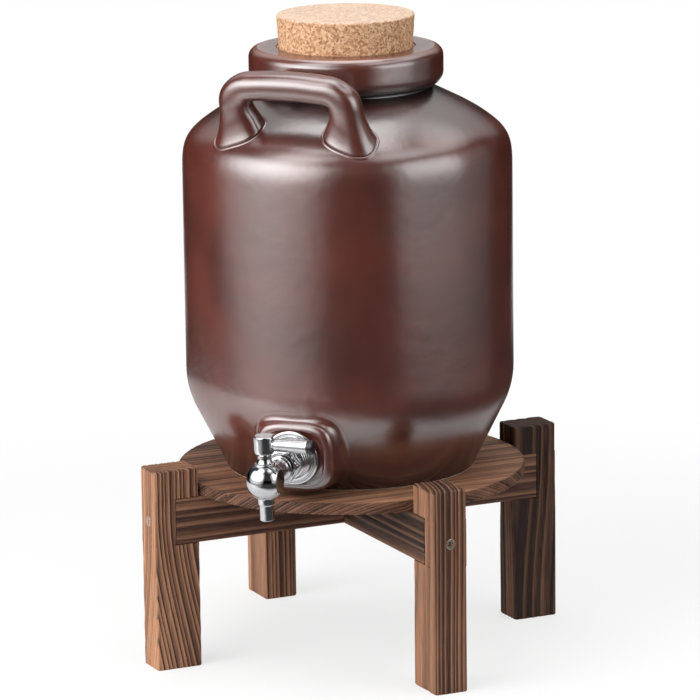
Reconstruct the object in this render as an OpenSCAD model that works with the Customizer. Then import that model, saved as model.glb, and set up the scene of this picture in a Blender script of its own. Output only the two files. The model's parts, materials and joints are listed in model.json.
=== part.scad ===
// Ceramic drink dispenser: a glazed jar with a ball tap and a cork, standing on a charred wooden stand.
// Millimetres, +Z up. The origin is on the floor under the jar's axis, and the tap points to -Y.

/* [Stand] */
// Distance between the outer faces of two opposite legs
leg_span = 303; // [285:1:340]
// Width of a leg, and thickness of a rail
leg_w = 24; // [20:1:30]
// Depth of a leg, measured towards the middle of the stand
leg_d = 32.5; // [26:0.5:36]
// Height of a leg
leg_h = 138; // [120:1:180]
// How far a leg stands above the board
leg_proud = 12; // [4:1:20]
// Rounding of a leg's long edges
leg_round = 1.5; // [0.5:0.1:4]
// How deep a rail's end goes into its leg
housing = 17; // [10:1:20]
// Height of a rail
rail_h = 32; // [24:1:44]
// Thickness of the board
board_t = 8; // [7:0.5:14]
// Gap between the board's rim and a leg
board_gap = 0.5; // [0.2:0.1:3]
// Bevel round the board's rim
board_bevel = 0.8; // [0.2:0.1:2]
// Width of the middle plank of the board
plank_w = 80; // [60:1:110]
// Gap between two planks
plank_gap = 0.2; // [0.1:0.1:1]

/* [Screws] */
// Diameter of a wood screw's shank
screw_d = 4; // [3:0.1:5]
// Diameter of a wood screw's head
screw_head = 7.5; // [6:0.1:9]
// Height of the head's cone
screw_cone = 2.4; // [1.5:0.1:3.5]
// How far a leg screw goes into the end of its rail
leg_bite = 26; // [15:1:40]
// How far a board screw goes into the board
board_bite = 5.5; // [4:0.5:6]
// Depth of the counterbore under a board screw
board_sink = 16; // [6:1:20]
// Distance of the inner board screws from the edge of the middle plank
screw_edge = 12; // [8:1:20]
// Room round a screw's shank and head
screw_gap = 0.05; // [0.02:0.01:0.3]

/* [Jar] */
// Diameter of the foot ring
foot_d = 170; // [150:1:190]
// Width of the foot ring's standing face
foot_w = 13; // [8:1:20]
// Depth of the hollow under the base
foot_hollow = 2.5; // [1:0.5:5]
// Height of the bare foot ring below the glaze
foot_h = 2.5; // [1:0.5:5]
// Diameter of the barrel
jar_d = 223; // [210:1:232]
// Height at which the lower body would meet the barrel
belly_h = 55; // [45:1:75]
// Rounding between the lower body and the barrel
belly_round = 58; // [30:1:80]
// Height at which the barrel would meet the shoulder
shoulder_h = 227; // [200:1:260]
// Rounding between the barrel and the shoulder
shoulder_round = 24; // [12:1:28]
// Height of the shoulder's steep part
crease_up = 17; // [12:1:22]
// Diameter at the soft crease of the shoulder
crease_d = 176; // [160:1:184]
// Rounding of the soft crease
crease_round = 50; // [20:1:60]
// Height of the shoulder's flat part
slope_up = 11.2; // [6:0.1:16]
// Diameter of the neck
neck_d = 114; // [108:1:120]
// Height of the neck between the shoulder and the collar
neck_up = 7.5; // [4:0.5:12]
// Diameter of the collar
collar_d = 131; // [122:1:145]
// Height of the collar
collar_h = 24; // [18:1:32]
// Rounding of the collar's lower edge
collar_low = 9.5; // [3:0.5:10]
// Rounding of the collar's upper edge
collar_top = 6.5; // [2:0.5:8]
// Thickness of the wall
wall = 8; // [6:0.5:10]
// Thickness of the base
base_t = 11; // [9:0.5:16]

/* [Handle] */
// Distance between the middles of the handle's legs
handle_w = 80; // [66:1:90]
// Thickness of the handle
handle_d = 19; // [16:0.5:24]
// Height of the bar's middle above the feet
handle_up = 37; // [34:0.5:46]
// Radius of the bends, along their middle
handle_bend = 13.5; // [12.5:0.5:22]
// Distance of the feet from the jar's axis, towards the tap
handle_out = 83; // [79:0.5:87]
// Height of the feet above the barrel's corner
handle_base = 10; // [6:0.5:13]
// Outward lean of the handle, degrees
handle_lean = 15; // [5:1:20]
// Width of a flared foot
flare_w = 37; // [30:0.5:42]
// Depth of a flared foot
flare_t = 22; // [18:0.5:26]
// Height of the flare
flare_h = 22; // [14:0.5:25]
// Turn of the handle round the jar, from above the tap, degrees
handle_turn = -4.5; // [-10:0.5:10]

/* [Boss] */
// Distance of the boss's face from the jar's axis
boss_out = 114; // [110:0.5:120]
// Width of the boss
boss_w = 54; // [48:1:60]
// Height of the boss
boss_h = 46; // [42:1:50]
// Rounding of the boss's corners
boss_round = 17; // [12:1:20]
// Rounded edge of the boss's face
boss_edge = 5; // [2:0.5:7]
// Widening of the boss towards the jar, on each side
boss_draft = 3; // [1:0.5:5]
// Ceramic left behind the boss's face
boss_wall = 10; // [7:0.5:12]
// Height of the tap's axis above the jar's base
tap_h = 29.5; // [28.5:0.5:36]
// Room between the tap's shank and the hole in the jar
hole_gap = 0.8; // [0.3:0.1:1.5]

/* [Tap] */
// Downward tilt of the tap, degrees
tap_tilt = 4; // [0:1:6]
// Distance of the ball's middle from the boss's face
tap_reach = 52; // [50:0.5:60]
// Diameter of the ball
ball_d = 26; // [25:0.5:28]
// Width of the ball across its two flats
ball_flats = 21; // [19:0.5:23]
// Diameter of the shank
shank_d = 12; // [11:0.5:13]
// Diameter of the shank's bore
shank_bore = 6; // [4:0.5:6.5]
// How far the shank shows past the lock nut
shank_end = 2; // [1:0.5:4]
// Room between a fixed piece and the hole that holds it
seat_gap = 0.06; // [0.03:0.01:0.15]
// Diameter of the flange
flange_d = 37; // [34:0.5:40]
// Thickness of the flange
flange_t = 3; // [2:0.5:5]
// Room round the flange where the barrel would reach past the boss
flange_gap = 1; // [0.5:0.1:2]
// Diameter of a gasket
gasket_d = 28; // [24:0.5:29]
// Thickness of a gasket
gasket_t = 1.5; // [1:0.1:2]
// Thickness of the washer behind the jar's wall
washer_t = 1.5; // [1:0.1:2]
// Diameter of the ribbed sleeve at the flange
sleeve_d = 28; // [25:0.5:32]
// Length of the ribbed sleeve
sleeve_l = 8; // [6:0.5:10]
// Number of the sleeve's ribs
sleeve_ribs = 4; // [3:1:5]
// Depth of the grooves between the ribs
rib_depth = 1.2; // [0.5:0.1:2]
// Narrowing of the sleeve towards the ball, on the radius
sleeve_taper = 2; // [0:0.5:3]
// Width of the nuts across their flats
nut_af = 20; // [18:0.5:22]
// Length of the coupling nut
nut_l = 9.5; // [7:0.5:12]
// Thickness of the lock nut inside the jar
lock_t = 6; // [4:0.5:7]
// Bevel on the corners of a nut
nut_bevel = 1.2; // [0.5:0.1:2]
// Diameter of the spout
spout_d = 9.4; // [8.4:0.1:11]
// Diameter of the spout's bore
spout_bore = 6; // [5:0.1:6.8]
// Distance of the spout's end below the ball's middle
spout_drop = 27; // [22:0.5:34]
// Length of the spout's spigot in the ball
spout_in = 3.5; // [2.5:0.5:4]
// Step between the spout and its spigot, on the radius
spout_step = 0.5; // [0.3:0.1:0.8]
// Bevel at the spout's end
spout_bevel = 0.6; // [0.2:0.1:1]
// Diameter of the collar at the spout's root
root_d = 11.2; // [10.6:0.1:12]
// Length of that collar
root_l = 4.5; // [3:0.5:6]

/* [Valve] */
// Diameter of the plug's bore in the ball
plug_d = 11; // [10:0.5:12]
// Half the height of the plug
plug_half = 7.5; // [7:0.5:8]
// Running room round the plug and the stem
run_gap = 0.05; // [0.02:0.01:0.1]
// Diameter of the plug's ports
port_d = 5; // [4:0.5:6]
// Thickness of an O-ring
oring_t = 1; // [0.8:0.1:1.3]
// Distance of an O-ring from the plug's nearer end
oring_in = 1.4; // [1:0.1:1.8]
// Diameter of the stem
stem_d = 6.5; // [5.5:0.5:7]
// Diameter of the gland's neck
gland_d = 10; // [9.5:0.1:10.5]
// How deep the gland goes into the ball
gland_in = 3; // [2:0.5:4]
// Height of the gland's top above the ball's middle
gland_top = 18.4; // [17:0.1:20]
// Diameter of the bead round the gland's foot
bead_d = 14; // [13:0.1:15]
// Height of that bead
bead_h = 1.6; // [1:0.1:2.5]

/* [Lever] */
// Diameter of the hub
hub_d = 13; // [12:0.5:16]
// Height of the hub
hub_h = 12; // [11:0.5:15]
// Gap between the gland and the hub
hub_gap = 0.4; // [0.2:0.1:1]
// Bevel on the hub's edges
hub_bevel = 0.7; // [0.3:0.1:1.5]
// How far the stem goes into the hub
stem_in = 8; // [5:0.5:9]
// Diameter of the lever's bar at the hub
bar_d = 8; // [7:0.1:9.5]
// Diameter of the lever's bar at its end
bar_end_d = 9.2; // [8:0.1:10]
// Distance of the bar's end from the hub's axis
bar_end = 30.5; // [24:0.5:45]
// How deep the bar goes into the hub
bar_in = 2.5; // [1.5:0.5:2.8]
// Length of the dark cap on the bar's end
cap_l = 4; // [3:0.5:8]
// Length of the cap's spigot in the bar
spigot_l = 5; // [3:0.5:8]
// Diameter of the cap's spigot
spigot_d = 4; // [3:0.5:5]
// Rounding of the cap's end
cap_round = 1.2; // [0.5:0.1:2]

/* [Cork] */
// Diameter of the cork's top
cork_d = 93; // [88:0.5:96]
// Diameter of the cork's lower end
cork_low_d = 87; // [82:0.5:88]
// Height of the cork
cork_h = 46; // [36:1:50]
// How far the cork stands above the collar
cork_proud = 22; // [15:1:28]
// Bevel on the cork's edges
cork_bevel = 1.2; // [0.4:0.1:2]
// Room between the cork and the mouth
cork_gap = 0.3; // [0.2:0.1:0.6]

/* [Hidden] */
$fn = 96;
// Length by which a cut runs past a face
past = 1;
// Turn of one step along a round, degrees
arc_step = 7;
// Sides of the rounds in the boss and in the handle's feet
hull_fn = 32;
// Thickness of the plates that shape the boss and the handle's feet
plate_t = 0.5;
// Round where the shoulder meets the neck
neck_round = 3;
// Round between the inside wall and the floor
floor_round = 12;
// Round on the inner edge of the mouth
mouth_round = 1.5;
// Room beside and above the gasket in the pocket behind the boss, and the pocket's rounding
pocket_side = 6;
pocket_top = 2;
pocket_round = 10;

// Heights of the stand
rail_top = leg_h - leg_proud - board_t;
rail_z = rail_top - rail_h;
screw_z = rail_z + rail_h / 2;
jar_z = rail_top + board_t;
// Half lengths of the rails, and the board's radius
leg_in = leg_span / 2 - leg_d;
rail_half = leg_in + housing;
board_r = leg_in - board_gap;
// Places of the board screws along their rail
screw_near = plank_w / 2 - screw_edge;
screw_far = (plank_w / 2 + board_r) / 2;
leg_screw_l = leg_d - housing + leg_bite;
board_screw_l = rail_h - board_sink + board_bite;

// Corners of the jar's outline, as radius and height above its base
foot_pt = [foot_d / 2, foot_h];
belly_pt = [jar_d / 2, belly_h];
shoulder_pt = [jar_d / 2, shoulder_h];
crease_pt = [crease_d / 2, shoulder_h + crease_up];
neck_pt = [neck_d / 2, crease_pt.y + slope_up];
under_pt = [neck_d / 2, neck_pt.y + neck_up];
collar_r = collar_d / 2;
mouth_h = under_pt.y + collar_h;

// Radius of the cork at a height above its lower end
cork_slope = (cork_d - cork_low_d) / 2 / cork_h;
cork_in = cork_h - cork_proud;
mouth_r = cork_low_d / 2 + cork_slope * cork_in + cork_gap;
throat_r = cork_low_d / 2 + cork_gap;

// The tap, with places along the shank counted outwards from the boss's face
tap_z = jar_z + tap_h;
flange_s = gasket_t;
sleeve_s = flange_s + flange_t;
nut_s = sleeve_s + sleeve_l;
inner_s = -boss_wall - gasket_t;
washer_s = inner_s - washer_t;
lock_s = washer_s - lock_t;
shank_s = lock_s - shank_end;
ring_d = shank_d + 2 * seat_gap;
// The bore for the plug runs from below the plug to the top of the ball
plug_r = plug_d / 2 - run_gap;
ball_r = ball_d / 2;
gland_z = plug_half + run_gap;
gland_seat = gland_z + gland_in;
hub_z = gland_top + hub_gap;
stem_top = hub_z + stem_in;
bar_z = hub_z + hub_h / 2;
// The ball is flat below, where the spout's shoulder seats
spout_seat = sqrt(ball_r * ball_r - root_d * root_d / 4);
spigot_r = spout_d / 2 - spout_step;
oring_r = plug_d / 2 - run_gap - oring_t / 2;

// Colours of the finishes
charred_wood = "#7a4f33";
dark_glaze = "#5a2a22";
plated = "silver";
dark_rubber = "#202020";
cork_tan = "#cfa36f";
steel = "#b9bcbf";

// Outline helpers
function unit(v) = v / norm(v);
function left_of(v) = [-v.y, v.x];
// The shorter turn from angle a to angle b
function turn(a, b) = (b - a) - 360 * round((b - a) / 360);
// Points of the round of radius r at the corner b between a and c
function round_corner(a, b, c, r) =
  let (
    u = unit(a - b),
    v = unit(c - b),
    half = acos(u * v) / 2,
    m = b + unit(u + v) * r / sin(half),
    p = b + u * r / tan(half) - m,
    q = b + v * r / tan(half) - m,
    start = atan2(p.y, p.x),
    sweep = turn(start, atan2(q.y, q.x)),
    steps = max(2, ceil(abs(sweep) / arc_step))
  )
  [for (i = [0 : steps]) m + r * [cos(start + sweep * i / steps), sin(start + sweep * i / steps)]];
// A closed outline whose corner i is rounded by radii[i], or sharp where that is 0
function outline(pts, radii) =
  let (n = len(pts))
  [for (i = [0 : n - 1])
    each radii[i] > 0
      ? round_corner(pts[(i + n - 1) % n], pts[i], pts[(i + 1) % n], radii[i])
      : [pts[i]]];
// The corner b of the line a, b, c after the line moves w to its left
function inset(a, b, c, w) =
  let (
    p = left_of(unit(b - a)),
    q = left_of(unit(c - b))
  )
  b + (p + q) * w / (1 + p * q);
// The point at height y on the line through p along d
function at_height(p, d, y) = [p.x + d.x / d.y * (y - p.y), y];
// The point at radius x on the line through p along d
function at_radius(p, d, x) = [x, p.y + d.y / d.x * (x - p.x)];

// Inside corners of the jar, one wall in from the outline
belly_in = inset(foot_pt, belly_pt, shoulder_pt, wall);
shoulder_in = inset(belly_pt, shoulder_pt, crease_pt, wall);
crease_in = inset(shoulder_pt, crease_pt, neck_pt, wall);
floor_in = at_height(belly_in, belly_pt - foot_pt, base_t);
throat_in = at_radius(crease_in, neck_pt - crease_pt, throat_r);

jar_outline = outline(
  [
    [0, foot_hollow], [foot_d / 2 - foot_w, foot_hollow], [foot_d / 2 - foot_w, 0], [foot_d / 2, 0],
    foot_pt, belly_pt, shoulder_pt, crease_pt, neck_pt, under_pt,
    [collar_r, under_pt.y], [collar_r, mouth_h], [0, mouth_h]
  ],
  [0, 0, 0, 0, 0, belly_round, shoulder_round, crease_round, neck_round, 0, collar_low, collar_top, 0]
);
jar_inside = outline(
  [
    [0, base_t], floor_in, belly_in, shoulder_in, crease_in, throat_in,
    [throat_r, mouth_h - cork_in], [mouth_r, mouth_h - mouth_round],
    [mouth_r + mouth_round, mouth_h], [mouth_r + mouth_round, mouth_h + past], [0, mouth_h + past]
  ],
  [0, floor_round, belly_round - wall, shoulder_round - wall, crease_round, 0, 0, 0, 0, 0, 0]
);

// Placing helpers
module tap_place() {
  translate([0, -boss_out, tap_z])
    rotate([tap_tilt, 0, 0])
      children();
}
// Z runs outwards along the shank, from the boss's face
module on_shank(s) {
  tap_place()
    rotate([90, 0, 0])
      translate([0, 0, s])
        children();
}
// Z runs up the stem, from the ball's middle
module on_stem() {
  tap_place()
    translate([0, -tap_reach, 0])
      children();
}
// X runs out along the lever, from the hub's axis
module on_lever() {
  on_stem()
    translate([0, 0, bar_z])
      rotate([0, 90, 0])
        children();
}

// Shared shapes
module ring(outer_d, inner_d, height) {
  difference() {
    cylinder(d = outer_d, h = height);
    translate([0, 0, -past])
      cylinder(d = inner_d, h = height + 2 * past);
  }
}
module rounded_rect(w, h, r) {
  square([w - 2 * r, h], center = true);
  square([w, h - 2 * r], center = true);
  for (x = [-1, 1], y = [-1, 1])
    translate([x * (w / 2 - r), y * (h / 2 - r)])
      circle(r = r);
}
// A disc whose two edges are bevelled
module bevelled_disc(d, height, bevel) {
  rotate_extrude()
    polygon([
      [0, 0], [d / 2 - bevel, 0], [d / 2, bevel],
      [d / 2, height - bevel], [d / 2 - bevel, height], [0, height]
    ]);
}
// A hexagonal nut with bevelled corners and a round hole
module hex_nut(height) {
  corner_d = nut_af / cos(30);
  difference() {
    intersection() {
      rotate([0, 0, 30])
        cylinder(d = corner_d, h = height, $fn = 6);
      bevelled_disc(corner_d, height, nut_bevel);
    }
    translate([0, 0, -past])
      cylinder(d = ring_d, h = height + 2 * past);
  }
}
// A countersunk wood screw, head up, with its top at the origin
module wood_screw(length) {
  tip = screw_d;
  rotate_extrude()
    polygon([
      [0, 0], [screw_head / 2, 0], [screw_d / 2, -screw_cone],
      [screw_d / 2, tip - length], [0, -length]
    ]);
}
// The room that such a screw takes up
module screw_room(length) {
  rotate_extrude()
    polygon([
      [0, past], [screw_head / 2 + screw_gap, past], [screw_head / 2 + screw_gap, 0],
      [screw_d / 2 + screw_gap, -screw_cone], [screw_d / 2 + screw_gap, -length - screw_gap],
      [0, -length - screw_gap]
    ]);
}

// Stand
// X runs outwards along the diagonal of the leg at that angle
module leg_screw_place(angle) {
  rotate([0, 0, angle])
    translate([leg_span / 2, 0, screw_z])
      rotate([0, 90, 0])
        children();
}
module leg(angle) {
  color(charred_wood)
    difference() {
      rotate([0, 0, angle])
        difference() {
          translate([leg_in + leg_d / 2, 0, 0])
            linear_extrude(leg_h)
              rounded_rect(leg_d, leg_w, leg_round);
          translate([leg_in - past, -leg_w / 2 - past, rail_z])
            cube([housing + past, leg_w + 2 * past, rail_h]);
        }
      leg_screw_place(angle)
        screw_room(leg_screw_l);
    }
}
module rail(angle, notch_z) {
  color(charred_wood)
    difference() {
      rotate([0, 0, angle])
        difference() {
          translate([-rail_half, -leg_w / 2, rail_z])
            cube([2 * rail_half, leg_w, rail_h]);
          translate([-leg_w / 2, -leg_w / 2 - past, notch_z])
            cube([leg_w, leg_w + 2 * past, rail_h / 2 + past]);
        }
      for (end = [0, 180])
        leg_screw_place(angle + end)
          screw_room(leg_screw_l);
    }
}
// Places of the board screws, head down, under the rail that crosses the planks
module board_screw_places() {
  for (x = [-screw_far, -screw_near, screw_near, screw_far])
    rotate([0, 0, -45])
      translate([x, 0, rail_z + board_sink])
        rotate([180, 0, 0])
          children();
}
module leg_front_left() {
  leg(225);
}
module leg_front_right() {
  leg(315);
}
module leg_back_right() {
  leg(45);
}
module leg_back_left() {
  leg(135);
}
module rail_notched_above() {
  rail(45, screw_z);
}
module rail_notched_below() {
  difference() {
    rail(-45, rail_z - past);
    board_screw_places() {
      screw_room(board_screw_l);
      cylinder(d = screw_head + 2 * screw_gap, h = board_sink + past);
    }
  }
}
// The board between two lines that run beside the lower rail, counted towards the front right
module plank(from, to) {
  color(charred_wood)
    difference() {
      intersection() {
        translate([0, 0, rail_top])
          bevelled_disc(2 * board_r, board_t, board_bevel);
        rotate([0, 0, -45])
          translate([from, -board_r - past, rail_top - past])
            cube([to - from, 2 * (board_r + past), board_t + 2 * past]);
      }
      board_screw_places()
        screw_room(board_screw_l);
    }
}
module plank_front_right() {
  plank(plank_w / 2 + plank_gap, board_r + past);
}
module plank_middle() {
  plank(-plank_w / 2, plank_w / 2);
}
module plank_back_left() {
  plank(-board_r - past, -plank_w / 2 - plank_gap);
}
module leg_screws() {
  color(steel)
    for (angle = [45 : 90 : 315])
      leg_screw_place(angle)
        wood_screw(leg_screw_l);
}
module board_screws() {
  color(steel)
    board_screw_places()
      wood_screw(board_screw_l);
}

// Jar
// A leg of the handle, whose foot widens, mostly sideways
module handle_leg() {
  cylinder(d = handle_d, h = handle_up - handle_bend);
  hull() {
    translate([0, 0, flare_h / 2])
      cylinder(d = handle_d, h = plate_t, $fn = hull_fn);
    for (x = [-1, 1])
      translate([x * (flare_w - flare_t) / 2, 0, -flare_h / 2])
        cylinder(d = flare_t, h = plate_t, $fn = hull_fn);
  }
}
module handle_bar() {
  bar_half = handle_w / 2 - handle_bend;
  rotate([0, 0, handle_turn])
    translate([0, -handle_out, jar_z + shoulder_h + handle_base])
      rotate([handle_lean, 0, 0]) {
        for (side = [-1, 1])
          translate([side * handle_w / 2, 0, 0])
            handle_leg();
        for (side = [0, 180])
          rotate([0, 0, side])
            translate([bar_half, 0, handle_up - handle_bend])
              rotate([90, 0, 0])
                rotate_extrude(angle = 90)
                  translate([handle_bend, 0])
                    circle(d = handle_d);
        translate([-bar_half, 0, handle_up])
          rotate([0, 90, 0])
            cylinder(d = handle_d, h = 2 * bar_half);
      }
}
// One plate of the boss, widened by grow on each side
module boss_plate(s, grow) {
  for (x = [-1, 1], y = [-1, 1])
    on_shank(s)
      translate([x * (boss_w / 2 - boss_round), y * (boss_h / 2 - boss_round), 0])
        cylinder(r = boss_round + grow, h = plate_t, $fn = hull_fn);
}
module boss() {
  bulge = boss_edge * (1 - cos(45));
  hull() {
    boss_plate(-plate_t, -boss_edge);
    boss_plate(-plate_t - bulge, -bulge);
    boss_plate(-plate_t - boss_edge, 0);
    boss_plate(-boss_out / 3, boss_draft);
  }
}
// The hollow behind the boss, with a flat seat for the tap's inner rings
module boss_pocket() {
  on_shank(-boss_out / 2)
    linear_extrude(boss_out / 2 - boss_wall)
      rounded_rect(gasket_d + 2 * pocket_side, gasket_d + 2 * pocket_top, pocket_round);
}
// The room in front of the boss's flat face that keeps the barrel clear of the tap
module flange_room() {
  on_shank(0)
    cylinder(d = flange_d + 2 * flange_gap, h = tap_reach);
}
module jar_solid() {
  translate([0, 0, jar_z])
    rotate_extrude()
      polygon(jar_outline);
}
module jar_body() {
  color(dark_glaze)
    difference() {
      union() {
        jar_solid();
        boss();
      }
      translate([0, 0, jar_z])
        rotate_extrude()
          polygon(jar_inside);
      boss_pocket();
      on_shank(-boss_wall - past)
        cylinder(d = shank_d + 2 * hole_gap, h = boss_wall + 2 * past);
      flange_room();
    }
}

// The handle is bent from a bar of clay, and its feet are shaped to the shoulder
module jar_handle() {
  color(dark_glaze)
    difference() {
      handle_bar();
      jar_solid();
    }
}

// Tap
module flange_gasket() {
  color(dark_rubber)
    on_shank(0)
      ring(gasket_d, ring_d, gasket_t);
}
module tap_flange() {
  edge = flange_t / 2;
  rim_r = flange_d / 2 - edge;
  color(plated)
    on_shank(flange_s)
      rotate_extrude() {
        translate([ring_d / 2, 0])
          square([rim_r - ring_d / 2, flange_t]);
        translate([rim_r, edge])
          circle(r = edge);
      }
}
// A sleeve that narrows towards the ball, with a groove after each rib
module ribbed_sleeve() {
  pitch = sleeve_l / sleeve_ribs;
  groove = pitch / 2;
  color(plated)
    on_shank(sleeve_s)
      difference() {
        cylinder(d1 = sleeve_d, d2 = sleeve_d - 2 * sleeve_taper, h = sleeve_l);
        for (i = [0 : sleeve_ribs - 1])
          translate([0, 0, i * pitch + groove])
            ring(sleeve_d + 2 * past, sleeve_d - 2 * (sleeve_taper * (i + 1) / sleeve_ribs + rib_depth), groove);
        translate([0, 0, -past])
          cylinder(d = ring_d, h = sleeve_l + 2 * past);
      }
}
module coupling_nut() {
  color(plated)
    on_shank(nut_s)
      hex_nut(nut_l);
}
// The ball, cut flat on its two sides, above for the gland's bead and below for the spout
module tap_ball() {
  intersection() {
    sphere(d = ball_d);
    translate([-ball_flats / 2, -ball_r, -spout_seat])
      cube([ball_flats, ball_d, spout_seat + gland_seat]);
  }
}
module tap_body() {
  color(plated)
    difference() {
      union() {
        on_shank(shank_s)
          cylinder(d = shank_d, h = tap_reach - shank_s);
        on_stem()
          tap_ball();
      }
      on_shank(shank_s - past)
        cylinder(d = shank_bore, h = tap_reach - shank_s + past);
      on_stem() {
        translate([0, 0, -plug_half - run_gap])
          cylinder(d = plug_d, h = plug_half + ball_r + past);
        translate([0, 0, -ball_r])
          cylinder(d = spout_bore, h = ball_r);
        translate([0, 0, -spout_seat - past])
          cylinder(r = spigot_r + seat_gap, h = spout_in + past);
      }
    }
}
module tap_spout() {
  color(plated)
    on_stem()
      rotate_extrude()
        polygon([
          [spout_bore / 2, -spout_drop], [spout_d / 2 - spout_bevel, -spout_drop],
          [spout_d / 2, spout_bevel - spout_drop], [spout_d / 2, -spout_seat - root_l],
          [root_d / 2, -spout_seat - root_l], [root_d / 2, -spout_seat],
          [spigot_r, -spout_seat], [spigot_r, spout_in - spout_seat], [spout_bore / 2, spout_in - spout_seat]
        ]);
}
// The ring that is screwed into the ball over the plug, and keeps it down
module gland_nut() {
  color(plated)
    on_stem()
      difference() {
        union() {
          translate([0, 0, gland_z])
            cylinder(d = plug_d - 2 * seat_gap, h = gland_in);
          translate([0, 0, gland_seat])
            cylinder(d = gland_d, h = gland_top - gland_seat);
          translate([0, 0, gland_seat])
            bevelled_disc(bead_d, bead_h, bead_h / 3);
        }
        translate([0, 0, gland_z - past])
          cylinder(d = stem_d + 2 * run_gap, h = gland_top - gland_z + 2 * past);
      }
}
module inner_gasket() {
  color(dark_rubber)
    on_shank(inner_s)
      ring(gasket_d, ring_d, gasket_t);
}
module inner_washer() {
  color(steel)
    on_shank(washer_s)
      ring(gasket_d, ring_d, washer_t);
}
module lock_nut() {
  color(steel)
    on_shank(lock_s)
      hex_nut(lock_t);
}

// Lever and valve, closed: the lever points to +X, and the plug's port to -X
module oring_grooves() {
  for (z = [-plug_half + oring_in, plug_half - oring_in])
    translate([0, 0, z])
      children();
}
module valve_plug() {
  color(plated)
    on_stem()
      difference() {
        union() {
          translate([0, 0, -plug_half])
            cylinder(r = plug_r, h = 2 * plug_half);
          cylinder(d = stem_d, h = stem_top);
        }
        translate([0, 0, -plug_half - past])
          cylinder(d = port_d, h = plug_half + past);
        rotate([0, -90, 0])
          cylinder(d = port_d, h = plug_d);
        oring_grooves()
          translate([0, 0, -oring_t / 2])
            ring(plug_d + past, plug_d - 2 * (oring_t + run_gap), oring_t);
      }
}
module plug_o_rings() {
  color(dark_rubber)
    on_stem()
      oring_grooves()
        rotate_extrude()
          translate([oring_r, 0])
            circle(d = oring_t);
}
module lever_hub() {
  color(plated)
    difference() {
      on_stem()
        translate([0, 0, hub_z])
          bevelled_disc(hub_d, hub_h, hub_bevel);
      on_stem()
        translate([0, 0, hub_z - past])
          cylinder(d = stem_d + 2 * seat_gap, h = stem_in + past);
      on_lever()
        translate([0, 0, hub_d / 2 - bar_in])
          cylinder(d = bar_d + 2 * seat_gap, h = hub_d);
    }
}
module lever_bar() {
  start = hub_d / 2 - bar_in;
  color(plated)
    on_lever()
      difference() {
        union() {
          translate([0, 0, start])
            cylinder(d = bar_d, h = bar_in);
          translate([0, 0, hub_d / 2])
            cylinder(d1 = bar_d, d2 = bar_end_d, h = bar_end - hub_d / 2);
        }
        translate([0, 0, bar_end - spigot_l])
          cylinder(d = spigot_d + 2 * seat_gap, h = spigot_l + past);
      }
}
module lever_end_cap() {
  cap_r = bar_end_d / 2;
  color(dark_rubber)
    on_lever()
      translate([0, 0, bar_end]) {
        rotate_extrude()
          polygon(outline([[0, 0], [cap_r, 0], [cap_r, cap_l], [0, cap_l]], [0, 0, cap_round, 0]));
        translate([0, 0, -spigot_l])
          cylinder(d = spigot_d, h = spigot_l);
      }
}

// Cork
module cork_stopper() {
  low_r = cork_low_d / 2;
  top_r = cork_d / 2;
  color(cork_tan)
    translate([0, 0, jar_z + mouth_h - cork_in])
      rotate_extrude()
        polygon([
          [0, 0], [low_r - cork_bevel, 0], [low_r + cork_slope * cork_bevel, cork_bevel],
          [top_r - cork_slope * cork_bevel, cork_h - cork_bevel], [top_r - cork_bevel, cork_h], [0, cork_h]
        ]);
}

leg_front_left();
leg_front_right();
leg_back_right();
leg_back_left();
rail_notched_above();
rail_notched_below();
plank_front_right();
plank_middle();
plank_back_left();
leg_screws();
board_screws();
jar_body();
jar_handle();
flange_gasket();
tap_flange();
ribbed_sleeve();
coupling_nut();
tap_body();
tap_spout();
gland_nut();
inner_gasket();
inner_washer();
lock_nut();
valve_plug();
plug_o_rings();
lever_hub();
lever_bar();
lever_end_cap();
cork_stopper();
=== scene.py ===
# %% [markdown]
# # A ceramic drink dispenser on a charred wooden stand
# A glazed stoneware jar with a handle, a cork and a plated ball tap stands on a small table of charred,
# brushed cedar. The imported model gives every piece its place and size. This lesson dresses those pieces:
# each one becomes a surface worked out with numpy, with a finish made of shader nodes.

# %% Load the frame
import json

import bmesh
import bpy
import numpy as np
from mathutils import Matrix, Vector


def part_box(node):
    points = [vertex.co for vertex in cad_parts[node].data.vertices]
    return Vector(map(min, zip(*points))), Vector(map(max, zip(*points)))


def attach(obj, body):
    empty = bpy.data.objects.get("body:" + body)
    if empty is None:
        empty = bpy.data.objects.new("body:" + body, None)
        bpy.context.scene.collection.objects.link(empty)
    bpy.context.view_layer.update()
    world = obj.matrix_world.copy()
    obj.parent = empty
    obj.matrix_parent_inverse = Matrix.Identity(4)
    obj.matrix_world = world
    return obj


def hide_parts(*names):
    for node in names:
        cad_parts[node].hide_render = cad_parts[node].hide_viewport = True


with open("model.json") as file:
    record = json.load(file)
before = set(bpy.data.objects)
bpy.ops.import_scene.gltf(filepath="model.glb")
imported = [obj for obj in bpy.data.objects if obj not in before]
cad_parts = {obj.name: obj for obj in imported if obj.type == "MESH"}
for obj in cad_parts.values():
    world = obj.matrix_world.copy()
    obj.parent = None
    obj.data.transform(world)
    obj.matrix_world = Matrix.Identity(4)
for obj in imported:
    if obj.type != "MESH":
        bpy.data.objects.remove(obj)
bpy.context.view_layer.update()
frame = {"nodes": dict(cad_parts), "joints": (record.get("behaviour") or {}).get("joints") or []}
MM = 0.001
UPRIGHT = np.array([0.0, 0.0, 1.0])
joints = {joint["name"]: joint for joint in frame["joints"]}


def box_mm(node):
    """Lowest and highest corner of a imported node, in millimetres."""
    return [np.array(corner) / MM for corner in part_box(node)]


def add_object(name, data):
    """A new object in the scene, at the origin, with that mesh or camera."""
    made = bpy.data.objects.new(name, data)
    bpy.context.scene.collection.objects.link(made)
    return made


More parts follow.
